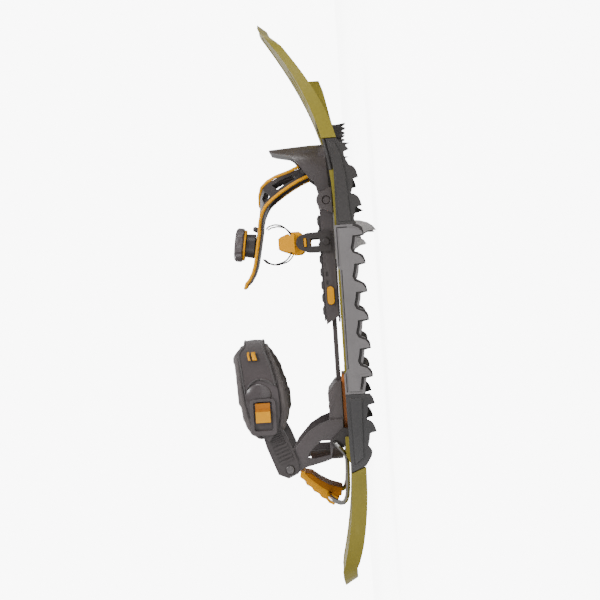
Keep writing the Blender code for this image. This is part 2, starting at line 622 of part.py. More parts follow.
def crampon():
    """Bent steel sheet under the plate, with two big hooked claws and two small ones."""
    rear, front = OPENING_REAR + 10, PLATE_FRONT - 3
    top = PLATE_BOTTOM - FIT
    low = top - STEEL
    sheet = block((rear, front), (-CLAW_Y - STEEL, CLAW_Y + STEEL), (low, top))
    big = [(front - 2, top), (front - 2, 37), (front - 8, 30), (85.5, 24), (84.8, 17), (82.3, 9), (78.5, 3.5),
           (73.4, 0), (73.6, 8), (71, 13.5), (68, 18.5), (60, 26), (54, 34), (rear, 38), (rear, top)]
    small = [(78, top), (78, 30), (69, 24), (67, 17.5), (64.5, 13.5), (60, 10.5), (59.4, 16), (56, 22), (52, 30),
             (51, top)]
    parts = []
    for side in (1, -1):
        for outline, y in ((big, CLAW_Y), (small, SMALL_CLAW_Y)):
            parts.append(prism(outline, *sorted((side * y, side * (y + STEEL)))))
    holes = [rod((x, y, low - 1), (x, y, top + 1), 2.9, 12) for x in (88,) for y in (20, -20)]
    add("crampon", cut(fuse(sheet, *parts), *holes), "binding", STEEL_GREY, 0.3, 1.0)
    shank = 2 + FIT + STEEL
    rivet = turned([(0, 0), (3.5, 0), (5, 1), (5, 2), (2.5, 2), (2.5, shank), (0, shank)], 14)
    rivet.transform(Matrix.Translation((88, 20, low - 2 - FIT)))
    add_pair("crampon_rivet", rivet, "binding", STEEL_GREY, 0.25, 1.0)


def side_lugs():
    """The upright black strap lugs beside the plate, and the hooks that catch the lace."""
    inner = PLATE_HALF + FIT
    waist, root = LUG_HALF - 2.5, PLATE_BOTTOM + 3
    outline = [(LUG_X - LUG_HALF, root), (LUG_X + LUG_HALF, root), (LUG_X + LUG_HALF - 1, LUG_TOP - 12)]
    outline += arc(LUG_X, LUG_TOP - waist, waist, 20, 160, 8) + [(LUG_X - LUG_HALF + 1, LUG_TOP - 12)]
    window = pill(LUG_X, 65, 4, 5, 1.5, 2)
    slot_z = LUG_TOP - 9.5
    slot = pill(LUG_X, slot_z, 5, 1.7, 0.8, 2)
    rivet_hole = arc(LUG_X, 53, 2.6, 0, 330, 11)
    lug = prism(outline, inner, inner + LUG_WALL, "XZ", [window, slot, rivet_hole])
    add_pair("side_lug", lug, "binding", BLACK, 0.55)
    rivet = turned([(0, 0), (2.3, 0), (2.3, LUG_WALL + FIT), (4.5, LUG_WALL + FIT), (3.4, LUG_WALL + 1.8),
                    (0, LUG_WALL + 1.8)], 14)
    rivet.transform(Matrix.Translation((LUG_X, inner, 53)) @ Matrix.Rotation(-math.pi / 2, 4, "X"))
    add_pair("lug_rivet", rivet, "binding", STEEL_GREY, 0.25, 1.0)

    blade_out = PLATE_HALF
    right = [(9.5, slot_z + 2.5), (12, slot_z + 6), (12, LUG_TOP + 4), (7.5, HOOK_TOP - 2.5), (5.5, HOOK_TOP)]
    body = [(LUG_X + x, z) for x, z in right] + [(LUG_X - x, z) for x, z in right[::-1]]
    blade = [(LUG_X - 6, slot_z - 4), (LUG_X + 6, slot_z - 4), (LUG_X + 6, slot_z + 4), (LUG_X - 6, slot_z + 4)]
    crown = [(LUG_X - 10, LUG_TOP + 1.5), (LUG_X + 10, LUG_TOP + 1.5), (LUG_X + 6.5, HOOK_TOP - 1.5),
             (LUG_X - 6.5, HOOK_TOP - 1.5)]
    tongue = pill(LUG_X, slot_z, 4.4, 1.2, 0.6, 2)
    channel = arc(LUG_X, LACE_Z, LACE_SEAT_R + 1.3, 200, 340, 12)
    channel += arc(LUG_X, LACE_Z, LACE_SEAT_R - 1.3, 340, 200, 12)
    hook = fuse(prism(body, blade_out - 3.5, blade_out), prism(blade, blade_out - 3.2, blade_out - 0.2),
                prism(crown, blade_out - 1, blade_out + 4.5),
                prism(tongue, blade_out - 1, inner + LUG_WALL + 1.2))
    hook = cut(hook, prism(channel, blade_out - 4, blade_out + 0.6))
    add_pair("lace_hook", hook, "binding", YELLOW, 0.35)


def size_button():
    outline = pill(BUTTON_X, BUTTON_Z, BUTTON_LONG / 2, BUTTON_HIGH / 2, BUTTON_HIGH / 2 - 0.01)
    button = prism(outline, -PLATE_HALF - BUTTON_PROUD, -PLATE_HALF + 6 - 3)
    add("size_lock_button", button, "size_button", YELLOW, 0.35)


# ---------------------------------------------------------------- heel unit

def heel_pad():
    """The bright strip on the deck that the heel plate rests on."""
    top = DECK_TOP + FIT + HEEL_PAD_WALL
    outline = pill((HEEL_FRONT + HEEL_REAR) / 2 - 9, 0, 42, 43, 6)
    add("heel_pad", prism(outline, DECK_TOP + FIT, top, "XY"), "deck", ORANGE, 0.45)
    return top


def heel_unit(pad_top):
    bottom = pad_top + FIT
    holes = [pill(x, 0, 3, 4, 1.5, 2) for x in range(-60, -20, 12)]
    bar_rear = HEEL_FRONT - 24
    bar = prism([(bar_rear, -BAR_HALF), (BAR_FRONT, -BAR_HALF), (BAR_FRONT, BAR_HALF), (bar_rear, BAR_HALF)],
                BAR_BOTTOM, BAR_BOTTOM + BAR_WALL, "XY", holes)
    add("size_bar", bar, "heel_unit", PLASTIC, 0.4)

    half = CUP_HALF - CUP_WALL - FIT
    profile = [(HEEL_REAR, bottom), (HEEL_FRONT, bottom), (HEEL_FRONT - 1, BAR_BOTTOM + BAR_WALL + 1.5),
               (HEEL_FRONT - 11, HEEL_TOP), (HEEL_REAR, HEEL_TOP)]
    slot = block((bar_rear - FIT, HEEL_FRONT + 5), (-BAR_HALF - FIT, BAR_HALF + FIT),
                 (bottom - 2, BAR_BOTTOM + BAR_WALL + FIT))
    grips = [block((x - 1.5, x + 1.5), (-half - 1, half + 1), (HEEL_TOP - 1.2, HEEL_TOP + 1))
             for x in (-104, -112)]
    add("heel_plate", cut(prism(profile, -half, half), slot, *grips), "heel_unit", PLASTIC, 0.45)

    arm = [(-121, bottom + 1), (-121, 61), (-124.5, 72), (-131.5, 84), (-146.5, 98), (-158, 104.5)]
    arm += arc(ANKLE_X, ANKLE_Z, 8, 60, 215, 8)
    arm += [(CUP_REAR - 2.5, 91), (CUP_REAR + 2.5, 69), (CUP_REAR + 5, 62), (-151, 60), (-151, bottom + 1)]
    window = [(-142.5, 63), (-157.5, 63), (-160.5, 80), (-159, 86.5), (-155, 85.5), (-149.5, 80.5),
              (-142.5, 71.5)]
    eye = arc(ANKLE_X, ANKLE_Z, 2.9, 0, 330, 11)
    outer, inner = CUP_HALF, CUP_HALF - CUP_WALL
    arms = [prism(arm, *sorted((side * inner, side * outer)), "XZ", [window, eye]) for side in (1, -1)]
    bend = CUP_REAR + 32
    back = [(bend + 6, outer), (bend, outer)] + arc_oval(bend, 32, outer, 90, 0, 9)
    hollow = [(bend + 6, inner), (bend, inner)] + arc_oval(bend, 32 - CUP_WALL, inner, 90, 0, 9)
    ring = back + [(x, -y) for x, y in back[-2::-1]] + [(x, -y) for x, y in hollow] + hollow[-2::-1]
    band = cut(prism(ring, bottom + 3, 84, "XY"), block((CUP_REAR + 14, 0), (-60, 60), (HEEL_TOP, 90)))
    add("heel_cup", fuse(band, *arms), "heel_unit", PLASTIC, 0.38)

    strap_out = CUP_HALF + FIT + STRAP_WALL
    rivet = turned([(0, -1.6), (4.4, -1.6), (4.4, -FIT), (2.5, -FIT), (2.5, strap_out - inner + FIT),
                    (5, strap_out - inner + FIT), (4, strap_out - inner + 1.7), (0, strap_out - inner + 1.7)], 16)
    rivet.transform(Matrix.Translation((ANKLE_X, inner, ANKLE_Z)) @ Matrix.Rotation(-math.pi / 2, 4, "X"))
    add_pair("ankle_rivet", rivet, "heel_unit", STEEL_GREY, 0.25, 1.0)


def arc_oval(x, long, wide, start, end, steps):
    """A quarter of an oval that reaches towards the rear."""
    return [(x - long * math.cos(math.radians(a)), wide * math.sin(math.radians(a)))
            for a in (start + (end - start) * i / steps for i in range(steps + 1))]


# ---------------------------------------------------------------- instep tongue

TONGUE_ROWS = [                                  # (inner edge), (outer edge) of the left half
    ((143.9, 32, 76), (135.9, 40, 69)),
    ((139.5, 32, 87), (131.7, 41.5, 79)),
    ((135.5, 30.5, 100.5), (126.4, 42, 89)),
    ((131, 27, 110), (120.4, 42, 98.6)),
    ((125.5, 21, 117), (113.8, 41, 107.5)),
    ((117.5, 12, 120.3), (107.5, 38, 114)),
    ((108.5, 4, 121.3), (101, 34, 118)),
    ((104, 0, 122), (95, 30, 120.6)),
    ((96, 0, 123.4), (88, 27, 122.3)),
    ((86, 0, 125.4), (80, 25, 123.2)),
    ((78, 0, 126.9), (74, 24, 124.4)),
    ((66, 0, 128.9), (64, 23, 126.4)),
    ((54, 0, 130.8), (54, 22, 128.4)),
    ((44, 0, 132.8), (44, 20, 130.6)),
    ((36, 0, 135.6), (36, 17, 133.6)),
    ((29, 0, 139.7), (29, 13.5, 138)),
    ((25.5, 0, 142.2), (26, 11.2, 141)),
]
TONGUE_COLUMNS = (0, 0.3, 0.55, 0.78, 1)
JOIN_ROW = 7                                     # from here the two arms are one tongue


def tongue_point(row, share):
    """A point of the outer face: share 0 is the inner edge, 1 the outer edge."""
    inner, outer = (Vector(p) for p in TONGUE_ROWS[row])
    point = inner.lerp(outer, share)
    if row >= JOIN_ROW:
        point.z = inner.z + (outer.z - inner.z) * share ** 2
    return point


def tongue_strap():
    """Two slotted arms that join in a crowned tongue; a sheet, mirrored and given its thickness."""
    sheet = bmesh.new()
    grid = [[sheet.verts.new(tongue_point(row, share)) for share in TONGUE_COLUMNS]
            for row in range(len(TONGUE_ROWS))]
    slots = {(row, column) for row in (1, 2, 4) for column in (1, 2)}
    for row in range(len(grid) - 1):
        for column in range(len(TONGUE_COLUMNS) - 1):
            if (row, column) in slots:
                continue
            near, far = grid[row], grid[row + 1]
            sheet.faces.new((near[column], far[column], far[column + 1], near[column + 1]))
    bmesh.ops.recalc_face_normals(sheet, faces=sheet.faces)
    if sum(face.normal.z for face in sheet.faces) < 0:
        bmesh.ops.reverse_faces(sheet, faces=sheet.faces)
    item = add("tongue_strap", sheet, "tongue", BLACK, 0.5)
    mirror = item.modifiers.new("other arm", "MIRROR")
    mirror.use_axis = (False, True, False)
    mirror.merge_threshold = 0.0001
    thick = item.modifiers.new("thickness", "SOLIDIFY")
    thick.thickness = TONGUE_WALL * MM
    thick.offset = -1
    thick.use_even_offset = True


def edge_path(share, rows, away):
    """A line beside one edge of the left half, moved away from the sheet by a distance."""
    path = []
    for row in rows:
        edge, other = tongue_point(row, share), tongue_point(row, 1 - share)
        if row >= JOIN_ROW and share == 1:
            other = tongue_point(row, 0.78)
        path.append(edge + (edge - other).normalized() * away)
    return path


def tongue_trims():
    """Bright piping along the front edge of both arms, and round the outer edges and the tail."""
    away = TRIM_R + FIT + 0.4
    left = edge_path(0, range(0, JOIN_ROW), away)
    crown = [Vector((TONGUE_ROWS[JOIN_ROW][0][0] + away + 0.5, 0, TONGUE_ROWS[JOIN_ROW][0][2] - 0.8))]
    front = smooth(left + crown + [Vector((p.x, -p.y, p.z)) for p in left[::-1]], 1)
    add_tube("tongue_trim_front", front, TRIM_R, "tongue", YELLOW, 0.35)
    left = edge_path(1, range(0, len(TONGUE_ROWS)), away)
    left += [Vector((22.2, 12.2, 141.9)), Vector((21.3, 5, 142.9))]
    rear = smooth(left + [Vector((p.x, -p.y, p.z)) for p in left[::-1]], 1)
    add_tube("tongue_trim_rear", rear, TRIM_R, "tongue", YELLOW, 0.35)


def tongue_rivets():
    pin = rod((TONGUE_X, 40.2, TONGUE_Z), (TONGUE_X, TOE_HALF - TOE_WALL - 3.4, TONGUE_Z), 2.6, 12)
    add_pair("tongue_rivet", pin, "tongue", STEEL_GREY, 0.25, 1.0)


def lace_guides():
    """The small knobs that let the lace out of the tongue, ahead of the dial."""
    knob = turned([(0, 0), (2.8, 0), (3, 2), (2.2, 4), (0, 4.4)], 10)
    knob.transform(Matrix.Translation((83, 19, 125.6)))
    add_pair("lace_guide", knob, "tongue", BLACK, 0.5)


def laces():
    """The thin steel lace on each side, out of the tongue, round the hook and back."""
    seat_y = PLATE_HALF - 1.4
    seat = [(x, seat_y, z) for x, z in arc(LUG_X, LACE_Z, LACE_SEAT_R, 322, 218, 4)]
    route = [(82.5, 21, 115.5), (84.8, 30, 112.5), (86, 39, 105.5), (84.6, 44.8, 99)] + seat
    route += [(45.6, 44.8, 100.5), (43.8, 39, 109), (46.4, 29, 117), (50.5, 19, 120.8)]
    route = smooth(route, 2)
    for side, name in ((1, "left"), (-1, "right")):
        points = [Vector((p.x, side * p.y, p.z)) for p in route]
        add_tube("lace_" + name, points, LACE_R, "tongue", STEEL_GREY, 0.3, 1.0)


def dial():
    """The lace dial: a base cup on the tongue, the spool in it, and the knob that lifts to let go."""
    spin = Matrix.Translation(DIAL_SEAT) @ Matrix.Rotation(DIAL_TILT, 4, "Y")
    floor = 2.4
    cup = SPOOL_R + SLIDE
    base = turned([(0, 0), (BASE_R, 0), (BASE_R - 0.6, BASE_HIGH), (cup, BASE_HIGH), (cup, floor), (0, floor)], 28)
    base.transform(spin)
    add("dial_base", base, "tongue", BLACK, 0.45)
    low, high = floor + FIT, BASE_HIGH - 0.8
    neck = 5.4
    spool = turned([(0, low), (SPOOL_R, low), (SPOOL_R, low + 1), (neck, low + 1.6), (neck, high - 1.6),
                    (SPOOL_R, high - 1), (SPOOL_R, high), (POST_R, high), (POST_R, high + 7), (0, high + 7)], 20)
    spool.transform(spin)
    add("lace_spool", spool, "lace_reel", BLACK, 0.4)
    ring_low = BASE_HIGH + SLIDE
    ring_high = ring_low + 2
    hole = POST_R + SLIDE
    ring = turned([(hole, ring_low), (DIAL_R - 2.2, ring_low), (DIAL_R - 1.6, ring_high), (hole, ring_high)], 32)
    ring.transform(spin)
    add("dial_ring", ring, "dial", YELLOW, 0.35)
    cap_low = ring_high + FIT
    cap_high = cap_low + DIAL_HIGH
    roof = high + 7 + SLIDE
    knob = turned([(hole, cap_low), (DIAL_R - 1.2, cap_low), (DIAL_R, cap_low + 1.4), (DIAL_R, cap_high - 2.6),
                   (DIAL_R - 1.6, cap_high - 0.8), (DIAL_R - 4, cap_high), (0, cap_high), (0, roof), (hole, roof)],
                  48, DIAL_LOBES, 1.3)
    knob.transform(spin)
    add("dial_knob", knob, "dial", BLACK, 0.42)


# ---------------------------------------------------------------- ankle strap

PAD_LOW = [(-139, 115), (-126, 106.5), (-109, 102.5), (-88, 103.5), (-60, 111), (-48, 117), (-41, 122)]
PAD_HIGH = [(-139, 137), (-131, 146), (-122, 151), (-100, 156.5), (-79, 158.5), (-48, 161), (-44, 157), (-41, 153)]
PAD_REAR, PAD_FRONT = -139.0, -41.0


def pad_path(offset, steps=9):
    """The left half of the line the pad follows, from its rear end to the front middle."""
    turn = PAD_FRONT - 46
    half, long = PAD_HALF - offset, 46 - offset
    straight = [(PAD_REAR + (turn - PAD_REAR) * i / 4, half) for i in range(4)]
    bend = [(turn + long * math.sin(math.radians(a)), half * math.cos(math.radians(a)))
            for a in (90 * i / steps for i in range(steps + 1))]
    return straight + bend


def band(outer, inner, low, high, plump):
    """A band that stands on the line between two parallel paths; plump rounds its faces."""
    paths = [[*path, *[(x, -y) for x, y in path[-2::-1]]] for path in (outer, inner)]
    sections = []
    for (ox, oy), (ix, iy) in zip(*paths):
        bottom, top = along(low, ox), along(high, ox)
        inward = Vector((ix - ox, iy - oy))
        rise = (top - bottom) * 0.18
        points = ((plump, bottom), (0, bottom + rise), (0, top - rise), (plump, top),
                  (1 - plump, top), (1, top - rise), (1, bottom + rise), (1 - plump, bottom))
        sections.append([(ox + inward.x * share, oy + inward.y * share, z) for share, z in points])
    return loft(sections)


def ankle_pad():
    add("ankle_pad", band(pad_path(0), pad_path(PAD_WALL), PAD_LOW, PAD_HIGH, 0.3), "ankle_strap", FABRIC, 0.85)
    low = [(x, z + 9.5) for x, z in PAD_LOW]
    high = [(x, z - 9.5) for x, z in PAD_HIGH]
    shell = band(pad_path(-SHELL_GAP - SHELL_WALL), pad_path(-SHELL_GAP), low, high, 0.2)
    add("pad_shell", shell, "ankle_strap", PLASTIC, 0.42)


def ankle_straps():
    """Ribbed ladder strap on the right side, plain strap on the left, both on the heel cup's rivets."""
    inner = CUP_HALF + FIT
    half = STRAP_WIDE / 2
    along_x, along_z = math.cos(math.radians(20)), math.sin(math.radians(20))

    def point(s, t):
        return (ANKLE_X + s * along_x - t * along_z, ANKLE_Z + s * along_z + t * along_x)

    end = 50.0
    outline = [point(s, t) for s, t in ((-7, -7), (4, 1 - half), (30, 1 - half), (end, 3 - half), (end, half - 1),
                                        (30, half + 1), (0, half + 1), (-8, 5))]
    eye = arc(ANKLE_X, ANKLE_Z, 2.5 + SLIDE, 0, 330, 11)
    strap = prism(outline, inner, inner + STRAP_WALL, "XZ", [eye])
    ribs = []
    for s in range(9, 27, 4):
        rib = [point(*p) for p in ((s, -8), (s + 2, -8), (s + 2, 8), (s, 8))]
        ribs.append(prism(rib, inner + STRAP_WALL - 0.5, inner + STRAP_WALL + 1))
    add("strap_left", strap.copy(), "ankle_strap", BLACK, 0.5)
    add("ladder_strap", mirrored(fuse(strap, *ribs)), "ankle_strap", BLACK, 0.5)


def ratchet():
    """The buckle on the pad's right side, and its lever, which swings out from its front end."""
    outer = -FRAME_Y
    frame = prism(pill(-113, 130, 19, 13.5, 5), outer - 5.5, outer)
    recess = prism(pill(-112, 130, 15.1, 9.6, 2), outer - 6, outer - 1.6)
    add("ratchet_frame", cut(frame, recess), "ankle_strap", PLASTIC, 0.4)
    pin = rod((LEVER_X, LEVER_Y, LEVER_Z - 9.2), (LEVER_X, LEVER_Y, LEVER_Z + 9.2), 1.0, 10)
    low, high = LEVER_Z - 7.6, LEVER_Z + 7.6
    plan = [(LEVER_X + x, LEVER_Y - y) for x, y in
            ((2, -2), (2, 2), (-4.5, 1.4), (-6.5, 4.8), (-18, 3), (-18, 0), (-5.5, -2.2))]
    bore = rod((LEVER_X, LEVER_Y, low - 1), (LEVER_X, LEVER_Y, high + 1), 1.2, 10)
    lever = cut(prism(plan, low, high, "XY"), bore)
    add("ratchet_lever", lever, "ratchet_lever", YELLOW, 0.35)
    add("lever_pin", pin, "ankle_strap", STEEL_GREY, 0.3, 1.0)


# ---------------------------------------------------------------- heel lift

def heel_lift():
    inner = CUP_HALF + 1.0
    base = DECK_TOP + FIT
    plate = [(LIFT_X - 4, base), (LIFT_X + 15, base), (LIFT_X + 15, base + 4)]
    plate += arc(LIFT_X, LIFT_Z, 5, 60, 225, 8)
    bore = arc(LIFT_X, LIFT_Z, WIRE_R + SLIDE, 0, 340, 17)
    upright = prism(plate, inner, inner + BRACKET_WALL, "XZ", [bore])
    foot = block((LIFT_X + 2, LIFT_X + 15), (inner, inner + 15), (base, base + 2))
    add_pair("lift_bracket", fuse(upright, foot), "deck", BLACK, 0.5)

    low = DECK_TOP + WIRE_R + 2 * FIT
    knots = [(LIFT_X - 6, WIRE_Y, LIFT_Z - 5), (LIFT_X - 12, WIRE_Y, low + 1.5), (LIFT_X - 18, WIRE_Y, low),
             (LIFT_X - 35, WIRE_Y, low + 0.5), (LIFT_X - 54, WIRE_Y, low + 2), (LIFT_X - 62, WIRE_Y - 2.5, low + 6.5),
             (LIFT_X - 62, WIRE_Y - 9, low + 12.5), (LIFT_X - 59.5, WIRE_Y - 18, GRIP_Z - 3),
             (LIFT_X - GRIP_BACK, WIRE_Y - 30, GRIP_Z)]
    leg = [(LIFT_X, inner + 0.4, LIFT_Z), (LIFT_X, WIRE_Y - 3, LIFT_Z), (LIFT_X - 0.8, WIRE_Y - 0.8, LIFT_Z - 0.6)]
    leg = [Vector(p) for p in leg] + smooth([(LIFT_X - 2.4, WIRE_Y, LIFT_Z - 1.8)] + knots, 2)
    route = leg + [Vector((p.x, -p.y, p.z)) for p in leg[::-1]]
    add_tube("lift_bail", route, WIRE_R, "heel_lift", STEEL_GREY, 0.2, 1.0)

    outline = [(-214, 63.5), (-206.5, 72), (-197, 82.5), (-190, 89.5), (-181.5, 96), (-176, 96.5), (-174.6, 94.2),
               (-177.6, 93), (-179.3, 85), (-186, 76.5), (-192, 66.2), (-196.6, 53), (-204, 54.5), (-206, 60),
               (-211.5, 61)]
    bore = arc(LIFT_X - GRIP_BACK, GRIP_Z, WIRE_R + FIT, 0, 337.5, 15)
    grip = prism(outline, -GRIP_HALF, GRIP_HALF, "XZ", [bore])
    add("lift_grip", grip, "heel_lift", ORANGE, 0.4)


# ---------------------------------------------------------------- build

for old in list(bpy.data.objects):
    bpy.data.objects.remove(old)
EMPTIES = make_bodies()
deck_frame()
tip_keel()
rails()
toe_claws()
binding_plate(pivot())
tread_pad()
toe_stop()
crampon()
side_lugs()
size_button()
heel_unit(heel_pad())
tongue_strap()
tongue_trims()
tongue_rivets()
lace_guides()
laces()
dial()
ankle_pad()
ankle_straps()
ratchet()
heel_lift()
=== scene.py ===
"""A snowshoe with its binding: finishes, soft pieces, light and camera on the CAD frame."""
import json
import math

import bmesh
import bpy
from mathutils import Matrix, Vector
from mathutils.bvhtree import BVHTree

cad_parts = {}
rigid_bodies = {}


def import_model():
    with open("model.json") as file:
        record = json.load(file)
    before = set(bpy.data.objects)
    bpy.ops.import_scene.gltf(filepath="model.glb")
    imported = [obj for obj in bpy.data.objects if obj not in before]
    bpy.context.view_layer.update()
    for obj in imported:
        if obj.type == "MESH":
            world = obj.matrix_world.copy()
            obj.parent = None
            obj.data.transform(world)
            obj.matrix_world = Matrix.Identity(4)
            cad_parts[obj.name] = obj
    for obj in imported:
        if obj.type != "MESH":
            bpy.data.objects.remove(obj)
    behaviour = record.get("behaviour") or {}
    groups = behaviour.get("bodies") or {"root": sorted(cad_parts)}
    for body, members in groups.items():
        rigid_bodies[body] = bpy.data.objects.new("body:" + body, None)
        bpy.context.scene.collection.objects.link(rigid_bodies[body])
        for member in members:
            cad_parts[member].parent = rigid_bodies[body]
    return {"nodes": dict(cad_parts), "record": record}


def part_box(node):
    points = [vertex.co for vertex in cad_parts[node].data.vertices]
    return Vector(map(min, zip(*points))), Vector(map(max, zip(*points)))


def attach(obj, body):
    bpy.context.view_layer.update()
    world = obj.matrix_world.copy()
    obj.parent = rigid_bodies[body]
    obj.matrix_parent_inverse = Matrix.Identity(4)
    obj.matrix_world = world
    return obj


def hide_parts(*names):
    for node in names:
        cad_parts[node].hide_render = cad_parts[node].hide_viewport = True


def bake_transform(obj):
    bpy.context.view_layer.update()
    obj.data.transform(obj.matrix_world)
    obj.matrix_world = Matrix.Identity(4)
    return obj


for old in list(bpy.data.objects):
    bpy.data.objects.remove(old)
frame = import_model()
NODES = frame["nodes"]
BODIES = frame["record"]["behaviour"]["bodies"]
BODY = {node: body for body, nodes in BODIES.items() for node in nodes}
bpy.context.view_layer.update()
MM = 0.001

OLIVE = (0.196, 0.160, 0.018)
# pale olive for the flow marks, and for the painted highlight on the deck's edges
OLIVE_FLOW_AND_HIGHLIGHT = (0.50, 0.43, 0.13)
CHARCOAL = (0.028, 0.0245, 0.0235)
BLUISH = (0.029, 0.027, 0.0275)
GREY = (0.142, 0.132, 0.133)
PLASTIC = (0.054, 0.0445, 0.046)
BLACK = (0.027, 0.022, 0.022)
YELLOW = (0.66, 0.285, 0.0)
# painted shade: the heel pad's yellow darkened to the orange-brown it shows in shade
HEEL_PAD_SHADE = (0.30, 0.085, 0.010)
FABRIC = (0.052, 0.041, 0.042)
MESH = (0.098, 0.084, 0.083)


# ---------------------------------------------------------------- materials

class Shader:
    """A material's node tree with short calls for the nodes used here."""

    def __init__(self, name, rough, metal=0.0, coat=0.0, sheen=0.0, gloss=0.5):
        self.material = bpy.data.materials.new(name)
        self.material.use_nodes = True
        self.tree = self.material.node_tree
        self.surface = self.tree.nodes["Principled BSDF"]
        self.surface.inputs["Roughness"].default_value = rough
        self.surface.inputs["Metallic"].default_value = metal
        self.surface.inputs["Coat Weight"].default_value = coat
        self.surface.inputs["Coat Roughness"].default_value = 0.25
        self.surface.inputs["Sheen Weight"].default_value = sheen
        self.surface.inputs["Specular IOR Level"].default_value = gloss
        self.place = self.node("ShaderNodeTexCoord").outputs["Object"]

    def node(self, kind, **settings):
        node = self.tree.nodes.new(kind)
        for key, value in settings.items():
            setattr(node, key, value)
        return node

    def link(self, source, target):
        self.tree.links.new(source, target)

    def stretched(self, scale):
        node = self.node("ShaderNodeMapping")
        node.inputs["Scale"].default_value = scale
        self.link(self.place, node.inputs["Vector"])
        return node.outputs["Vector"]

    def noise(self, scale, detail=3.0, place=None):
        node = self.node("ShaderNodeTexNoise")
        node.inputs["Scale"].default_value = scale
        node.inputs["Detail"].default_value = detail
        self.link(place or self.place, node.inputs["Vector"])
        return node.outputs["Fac"]

    def cells(self, scale, place=None):
        node = self.node("ShaderNodeTexVoronoi")
        node.inputs["Scale"].default_value = scale
        self.link(place or self.place, node.inputs["Vector"])
        return node.outputs["Distance"]

    def wave(self, scale, axis, place=None):
        node = self.node("ShaderNodeTexWave", bands_direction=axis)
        node.inputs["Scale"].default_value = scale
        self.link(place or self.place, node.inputs["Vector"])
        return node.outputs["Fac"]

    def spread(self, value, low, high, to_low=0.0, to_high=1.0):
        node = self.node("ShaderNodeMapRange")
        limits = {"From Min": low, "From Max": high, "To Min": to_low, "To Max": to_high}
        for key, number in limits.items():
            node.inputs[key].default_value = number
        self.link(value, node.inputs["Value"])
        return node.outputs["Result"]

    def mix(self, share, low, high):
        node = self.node("ShaderNodeMix", data_type="RGBA")
        self.link(share, node.inputs["Factor"])
        for socket, value in ((node.inputs[6], low), (node.inputs[7], high)):
            if isinstance(value, tuple):
                socket.default_value = (*value, 1.0)
            else:
                self.link(value, socket)
        return node.outputs[2]

    def colour(self, value):
        self.link(value, self.surface.inputs["Base Color"])

    def rough(self, value):
        self.link(value, self.surface.inputs["Roughness"])

    def bump(self, height, depth, strength=1.0, below=None):
        node = self.node("ShaderNodeBump")
        node.inputs["Strength"].default_value = strength
        node.inputs["Distance"].default_value = depth
        self.link(height, node.inputs["Height"])
        if below is not None:
            self.link(below, node.inputs["Normal"])
        self.link(node.outputs["Normal"], self.surface.inputs["Normal"])
        return node.outputs["Normal"]

    def edges(self, low=0.51, high=0.60):
        return self.spread(self.node("ShaderNodeNewGeometry").outputs["Pointiness"], low, high)


def shade(colour, factor):
    return tuple(min(1.0, channel * factor) for channel in colour)


def moulded(name, colour, rough=0.42, grain=0.00006, wear=1.45, coat=0.0, gloss=0.5, scale=1800):
    """Moulded plastic: fine spark-eroded grain, cloudy tone, rubbed edges, small scuffs."""
    s = Shader(name, rough, coat=coat, gloss=gloss)
    cloud = s.mix(s.spread(s.noise(22, 4), 0.35, 0.65), shade(colour, 0.94), shade(colour, 1.06))
    speck = s.mix(s.spread(s.noise(scale * 0.6, 2), 0.62, 0.75, 0, 0.16), cloud, shade(colour, 1.35))
    s.colour(s.mix(s.edges(0.53, 0.66), speck, shade(colour, wear)))
    s.rough(s.spread(s.noise(60, 5), 0.3, 0.7, rough - 0.07, rough + 0.09))
    fine = s.bump(s.cells(scale), grain)
    s.bump(s.noise(140, 4, s.stretched((1, 6, 6))), grain * 1.6, 0.35, fine)
    return s.material


def brushed(name, colour, rough=0.3, along=(4, 90, 90)):
    """Steel with a brushed grain, a few scratches and a dull cast."""
    s = Shader(name, rough, metal=1.0)
    lines = s.noise(60, 6, s.stretched(along))
    s.colour(s.mix(s.spread(s.noise(35, 4), 0.35, 0.65), shade(colour, 0.86), shade(colour, 1.12)))
    s.rough(s.spread(lines, 0.3, 0.7, rough - 0.09, rough + 0.14))
    s.bump(lines, 0.00005, 0.6)
    return s.material


def woven(name, colour, pitch=0.9, depth=0.00018, rough=0.86, sheen=0.25, turn=0.0):
    """Woven fabric: two crossed thread waves, slubs and a little fluff."""
    s = Shader(name, rough, sheen=sheen)
    tilt = s.node("ShaderNodeMapping")
    tilt.inputs["Rotation"].default_value = (0, math.radians(turn), 0)
    s.link(s.place, tilt.inputs["Vector"])
    place = tilt.outputs["Vector"]
    rate = 2 * math.pi / (20 * pitch * MM)
    across, up = s.wave(rate, "X", place), s.wave(rate, "Z", place)
    cross = s.node("ShaderNodeMath", operation="MAXIMUM")
    s.link(across, cross.inputs[0])
    s.link(up, cross.inputs[1])
    thread = cross.outputs[0]
    dark = s.mix(s.spread(s.noise(45, 4), 0.35, 0.65), shade(colour, 0.86), shade(colour, 1.14))
    s.colour(s.mix(s.spread(thread, 0.1, 0.9), shade(colour, 0.62), dark))
    fluff = s.bump(s.noise(2600, 2), 0.00008, 0.5)
    s.bump(thread, depth, 0.8, fluff)
    return s.material


def tread(name, colour):
    """Rubbery surface with a fine leathery grain."""
    s = Shader(name, 0.72)
    s.colour(s.mix(s.spread(s.noise(300, 4), 0.3, 0.7), shade(colour, 0.8), shade(colour, 1.25)))
    s.bump(s.cells(900), 0.0001, 0.8)
    return s.material


